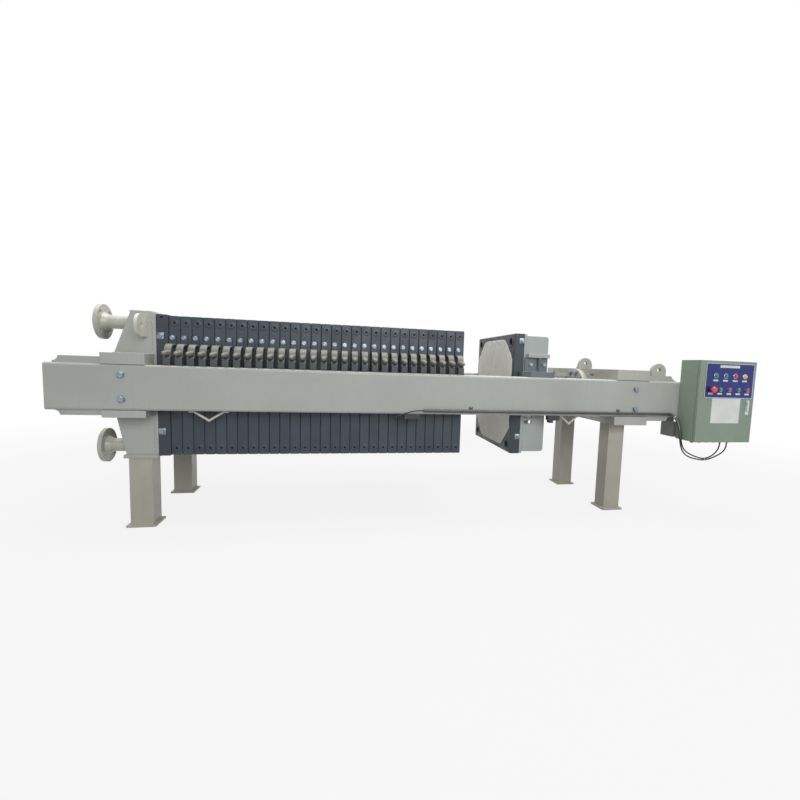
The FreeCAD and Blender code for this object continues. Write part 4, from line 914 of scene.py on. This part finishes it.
# Paler edges on the switches: partly wear, partly a painted highlight.
join(tree, lay(tree, edges["Edge"], lay(tree, skin["Cloud"], tint(44, 46, 50), tint(58, 60, 64)),
               tint(86, 88, 92)), shader, "Base Color")
join(tree, span(tree, skin["Cloud"], 0, 1, 0.38, 0.55), shader, "Roughness")
join(tree, bump(tree, skin["Grain"], 0.0001, 0.5, edges["Normal"]), shader, "Normal")
coat(switch_plastic, "limit_switch_feed", "limit_switch_ram")
conduit_plastic, tree, shader = material("conduit_plastic", Specular_IOR_Level=0.5, Coat_Weight=0.2,
                                         Coat_Roughness=0.3)
skin = use(tree, surface_skin, Grain=500.0, Cloud=16.0)
dust_and_light = use(tree, dust_and_top_light, Patches=25.0)
# Paler faces that look up on the conduit: partly dust, partly painted top light.
join(tree, lay(tree, calc(tree, "MULTIPLY", dust_and_light["Dust_with_top_light"], 0.6),
               lay(tree, skin["Cloud"], tint(64, 64, 64), tint(50, 50, 51)), tint(120, 118,
                                                                                  110)), shader, "Base Color")
join(tree, span(tree, skin["Cloud"], 0, 1, 0.3, 0.42), shader, "Roughness")
join(tree, bump(tree, skin["Grain"], 0.0001, 0.3), shader, "Normal")
coat(conduit_plastic, "conduit", "conduit_clips")
clip_screws = [turned((x, beam_face - 2.0, 737), "y", -1, [(0, 4.6), (1.2, 4.4), (2.4, 3.0), (2.8, 1.2)],
                      circle(14)) for x in (1829, 2871)]
add_piece("conduit_clip_screws", join_blocks(clip_screws), "frame", zinc)
bend_a, bend_b = np.array([3286, -550.3, 714.0]), np.array([3318, -572.3, 676.0])
tie("conduit_bend_tie", (bend_a + bend_b) / 2, bend_b - bend_a, (0, 0, 0), 10.0)

# ------------------------------------------------------------------ control cabinet
# Folded sheet steel case with a hung door, powder coated in grey-green; a blue
# operating panel, lamps, push buttons and a lever lock are fitted in the door.
cabinet_coat = coated("cabinet_coat", tint(130, 146, 130), tint(122, 137, 121), tint(152, 166, 150),
                      tint(150, 160, 145), 0.42, 0.55, peel=0.00008, radius=0.002, streaks=0.12, layer=0.05)
coat(cabinet_coat, "cabinet_case", "cabinet_door")
bracket_paint = coated("bracket_paint", tint(112, 114, 110), tint(100, 102, 98), tint(140, 142, 136),
                       tint(150, 148, 138), 0.36, 0.5)
coat(bracket_paint, "cabinet_bracket")
galvanised = finish("galvanised_sheet", tint(176, 178, 180), tint(206, 208, 209), 60.0, 30.0, (0.35, 0.55),
                    Metallic=0.9)
coat(galvanised, "mounting_plate")
black_plastic, tree, shader = material("black_plastic", Specular_IOR_Level=0.45)
skin = use(tree, surface_skin, Grain=900.0, Cloud=60.0)
edges = use(tree, edge_wear_and_highlight, Radius=0.0012, Breaks=200.0)
# Paler edges: partly wear, partly a painted highlight.
join(tree, lay(tree, edges["Edge"], lay(tree, skin["Cloud"], tint(22, 23, 25), tint(32, 33, 35)),
               tint(58, 59, 61)), shader, "Base Color")
join(tree, span(tree, skin["Cloud"], 0, 1, 0.34, 0.5), shader, "Roughness")
coat(black_plastic, "cable_glands", "stop_collar")

door_lo, door_hi = low("cabinet_door"), high("cabinet_door")
door_face = door_lo[1]
panel_lo, panel_hi = low("control_panel"), high("control_panel")
panel_face = panel_lo[1]
panel_blue = finish("panel_blue", tint(12, 34, 112), tint(10, 28, 100), 600.0, 11.0, (0.36, 0.46),
                    (0.00006, 0.4),
                    Specular_IOR_Level=0.45, Coat_Weight=0.15, Coat_Roughness=0.3)
coat(panel_blue, "control_panel")

label_white = finish("label_white", tint(214, 216, 212), tint(200, 203, 198), 500.0, 8.0, (0.4, 0.55),
                     Specular_IOR_Level=0.35)


def tablet(x0, x1, z0, z1, face, thick, corner, edge=0.25):
    """A flat plate on the door: the rounded outline pushed out by its thickness, its last
    ring drawn in by the edge."""
    outline = rounded(x1 - x0, z1 - z0, corner)
    reach, inset = np.array([0, thick - edge, thick]), np.array([0, 0, edge])
    size = np.array([x1 - x0, z1 - z0]) / 2
    scale = 1 - inset[:, None] / size[None]
    return closed(np.stack([(x0 + x1) / 2 + outline[None, :, 0] * scale[:, :1],
                            np.broadcast_to((face - reach)[:, None], (3, len(outline))),
                            (z0 + z1) / 2 + outline[None, :, 1] * scale[:, 1:]], -1))


def border(x0, x1, z0, z1, face, width, thick):
    """A flat frame: outer and inner outlines at the bottom and at the top, closed all round."""
    outer, inner = rounded(x1 - x0, z1 - z0, 3.0), rounded(x1 - x0 - 2 * width, z1 - z0 - 2 * width, 1.0)
    centre = np.array([(x0 + x1) / 2, face, (z0 + z1) / 2])
    ring = [(outer, 0.0), (outer, thick), (inner, thick), (inner, 0.0)]
    points = np.vstack([np.column_stack([o[:, 0], np.full(len(o), -t), o[:, 1]]) + centre for o, t in ring])
    n = len(outer)
    k = np.arange(n)
    last = np.column_stack([3 * n + k, 3 * n + (k + 1) % n, (k + 1) % n, k])
    return points, [np.vstack([grid(4, n), last])]


add_piece("panel_border", border(panel_lo[0], panel_hi[0], panel_lo[2], panel_hi[2], panel_face, 3.2, 0.5),
          "door", label_white)
LAMP_X, LAMP_Z = 3342 + 123 + 76.6 * np.arange(4), 993.0
BUTTON_X, BUTTON_Z, STOP_X = 3342 + 163 + 72.2 * np.arange(4), 901.0, 3431.0
strips = [tablet(3491, 3647, 1047, 1064, panel_face, 0.8, 2)]
strips += [tablet(x - 19, x + 19, 956, 967, panel_face, 0.8, 2) for x in LAMP_X]
strips += [tablet(x - 18, x + 18, 868, 879, panel_face, 0.8, 2) for x in np.r_[STOP_X, BUTTON_X]]
add_piece("blank_name_strips", join_blocks(strips), "door", label_white)
add_piece("blank_sheet", tablet(3452, 3678, 674, 842, door_face, 0.8, 2), "door", label_white)


def dome(name, core, rim):
    """Coloured plastic dome: clouds of a deeper colour over it, glossy."""
    return finish(name, core, rim, 300.0, 70.0, (0.14, 0.24), Specular_IOR_Level=0.55, Coat_Weight=0.6,
                  Coat_Roughness=0.08)


lens_green = dome("lens_green", tint(10, 140, 112), tint(8, 118, 96))
lens_red = dome("lens_red", tint(214, 44, 52), tint(186, 30, 42))
lens_yellow = dome("lens_yellow", tint(226, 196, 84), tint(212, 176, 58))
stop_red = dome("stop_red", tint(222, 60, 54), tint(200, 44, 42))
coat(lens_green, "lamps_green", "button_green_1", "button_green_2")
coat(lens_red, "lamp_red", "button_red_1", "button_red_2")
coat(lens_yellow, "lamp_yellow")
coat(stop_red, "stop_button")
chrome = finish("chrome", tint(212, 214, 216), tint(188, 191, 195), 1200.0, 50.0, (0.1, 0.22), Metallic=1.0)
coat(chrome, "button_rings", "latch_plate", "latch_lever")

bezel_ring = [(-0.1, 17.5), (2.0, 17.2), (3.0, 16.0), (3.0, 15.2), (-0.1, 15.1)]
u = np.arange(28)
bezel_points, bezel_faces = turned((0, panel_face, LAMP_Z), "y", -1, bezel_ring, circle(28))
bezel_faces = [np.vstack([bezel_faces[0], np.column_stack([4 * 28 + u, 4 * 28 + (u + 1) % 28, (u + 1) % 28,
                                                           u])])]
add_piece("lamp_bezels", repeated((bezel_points, bezel_faces), [(x, 0, 0) for x in LAMP_X]), "door", chrome)
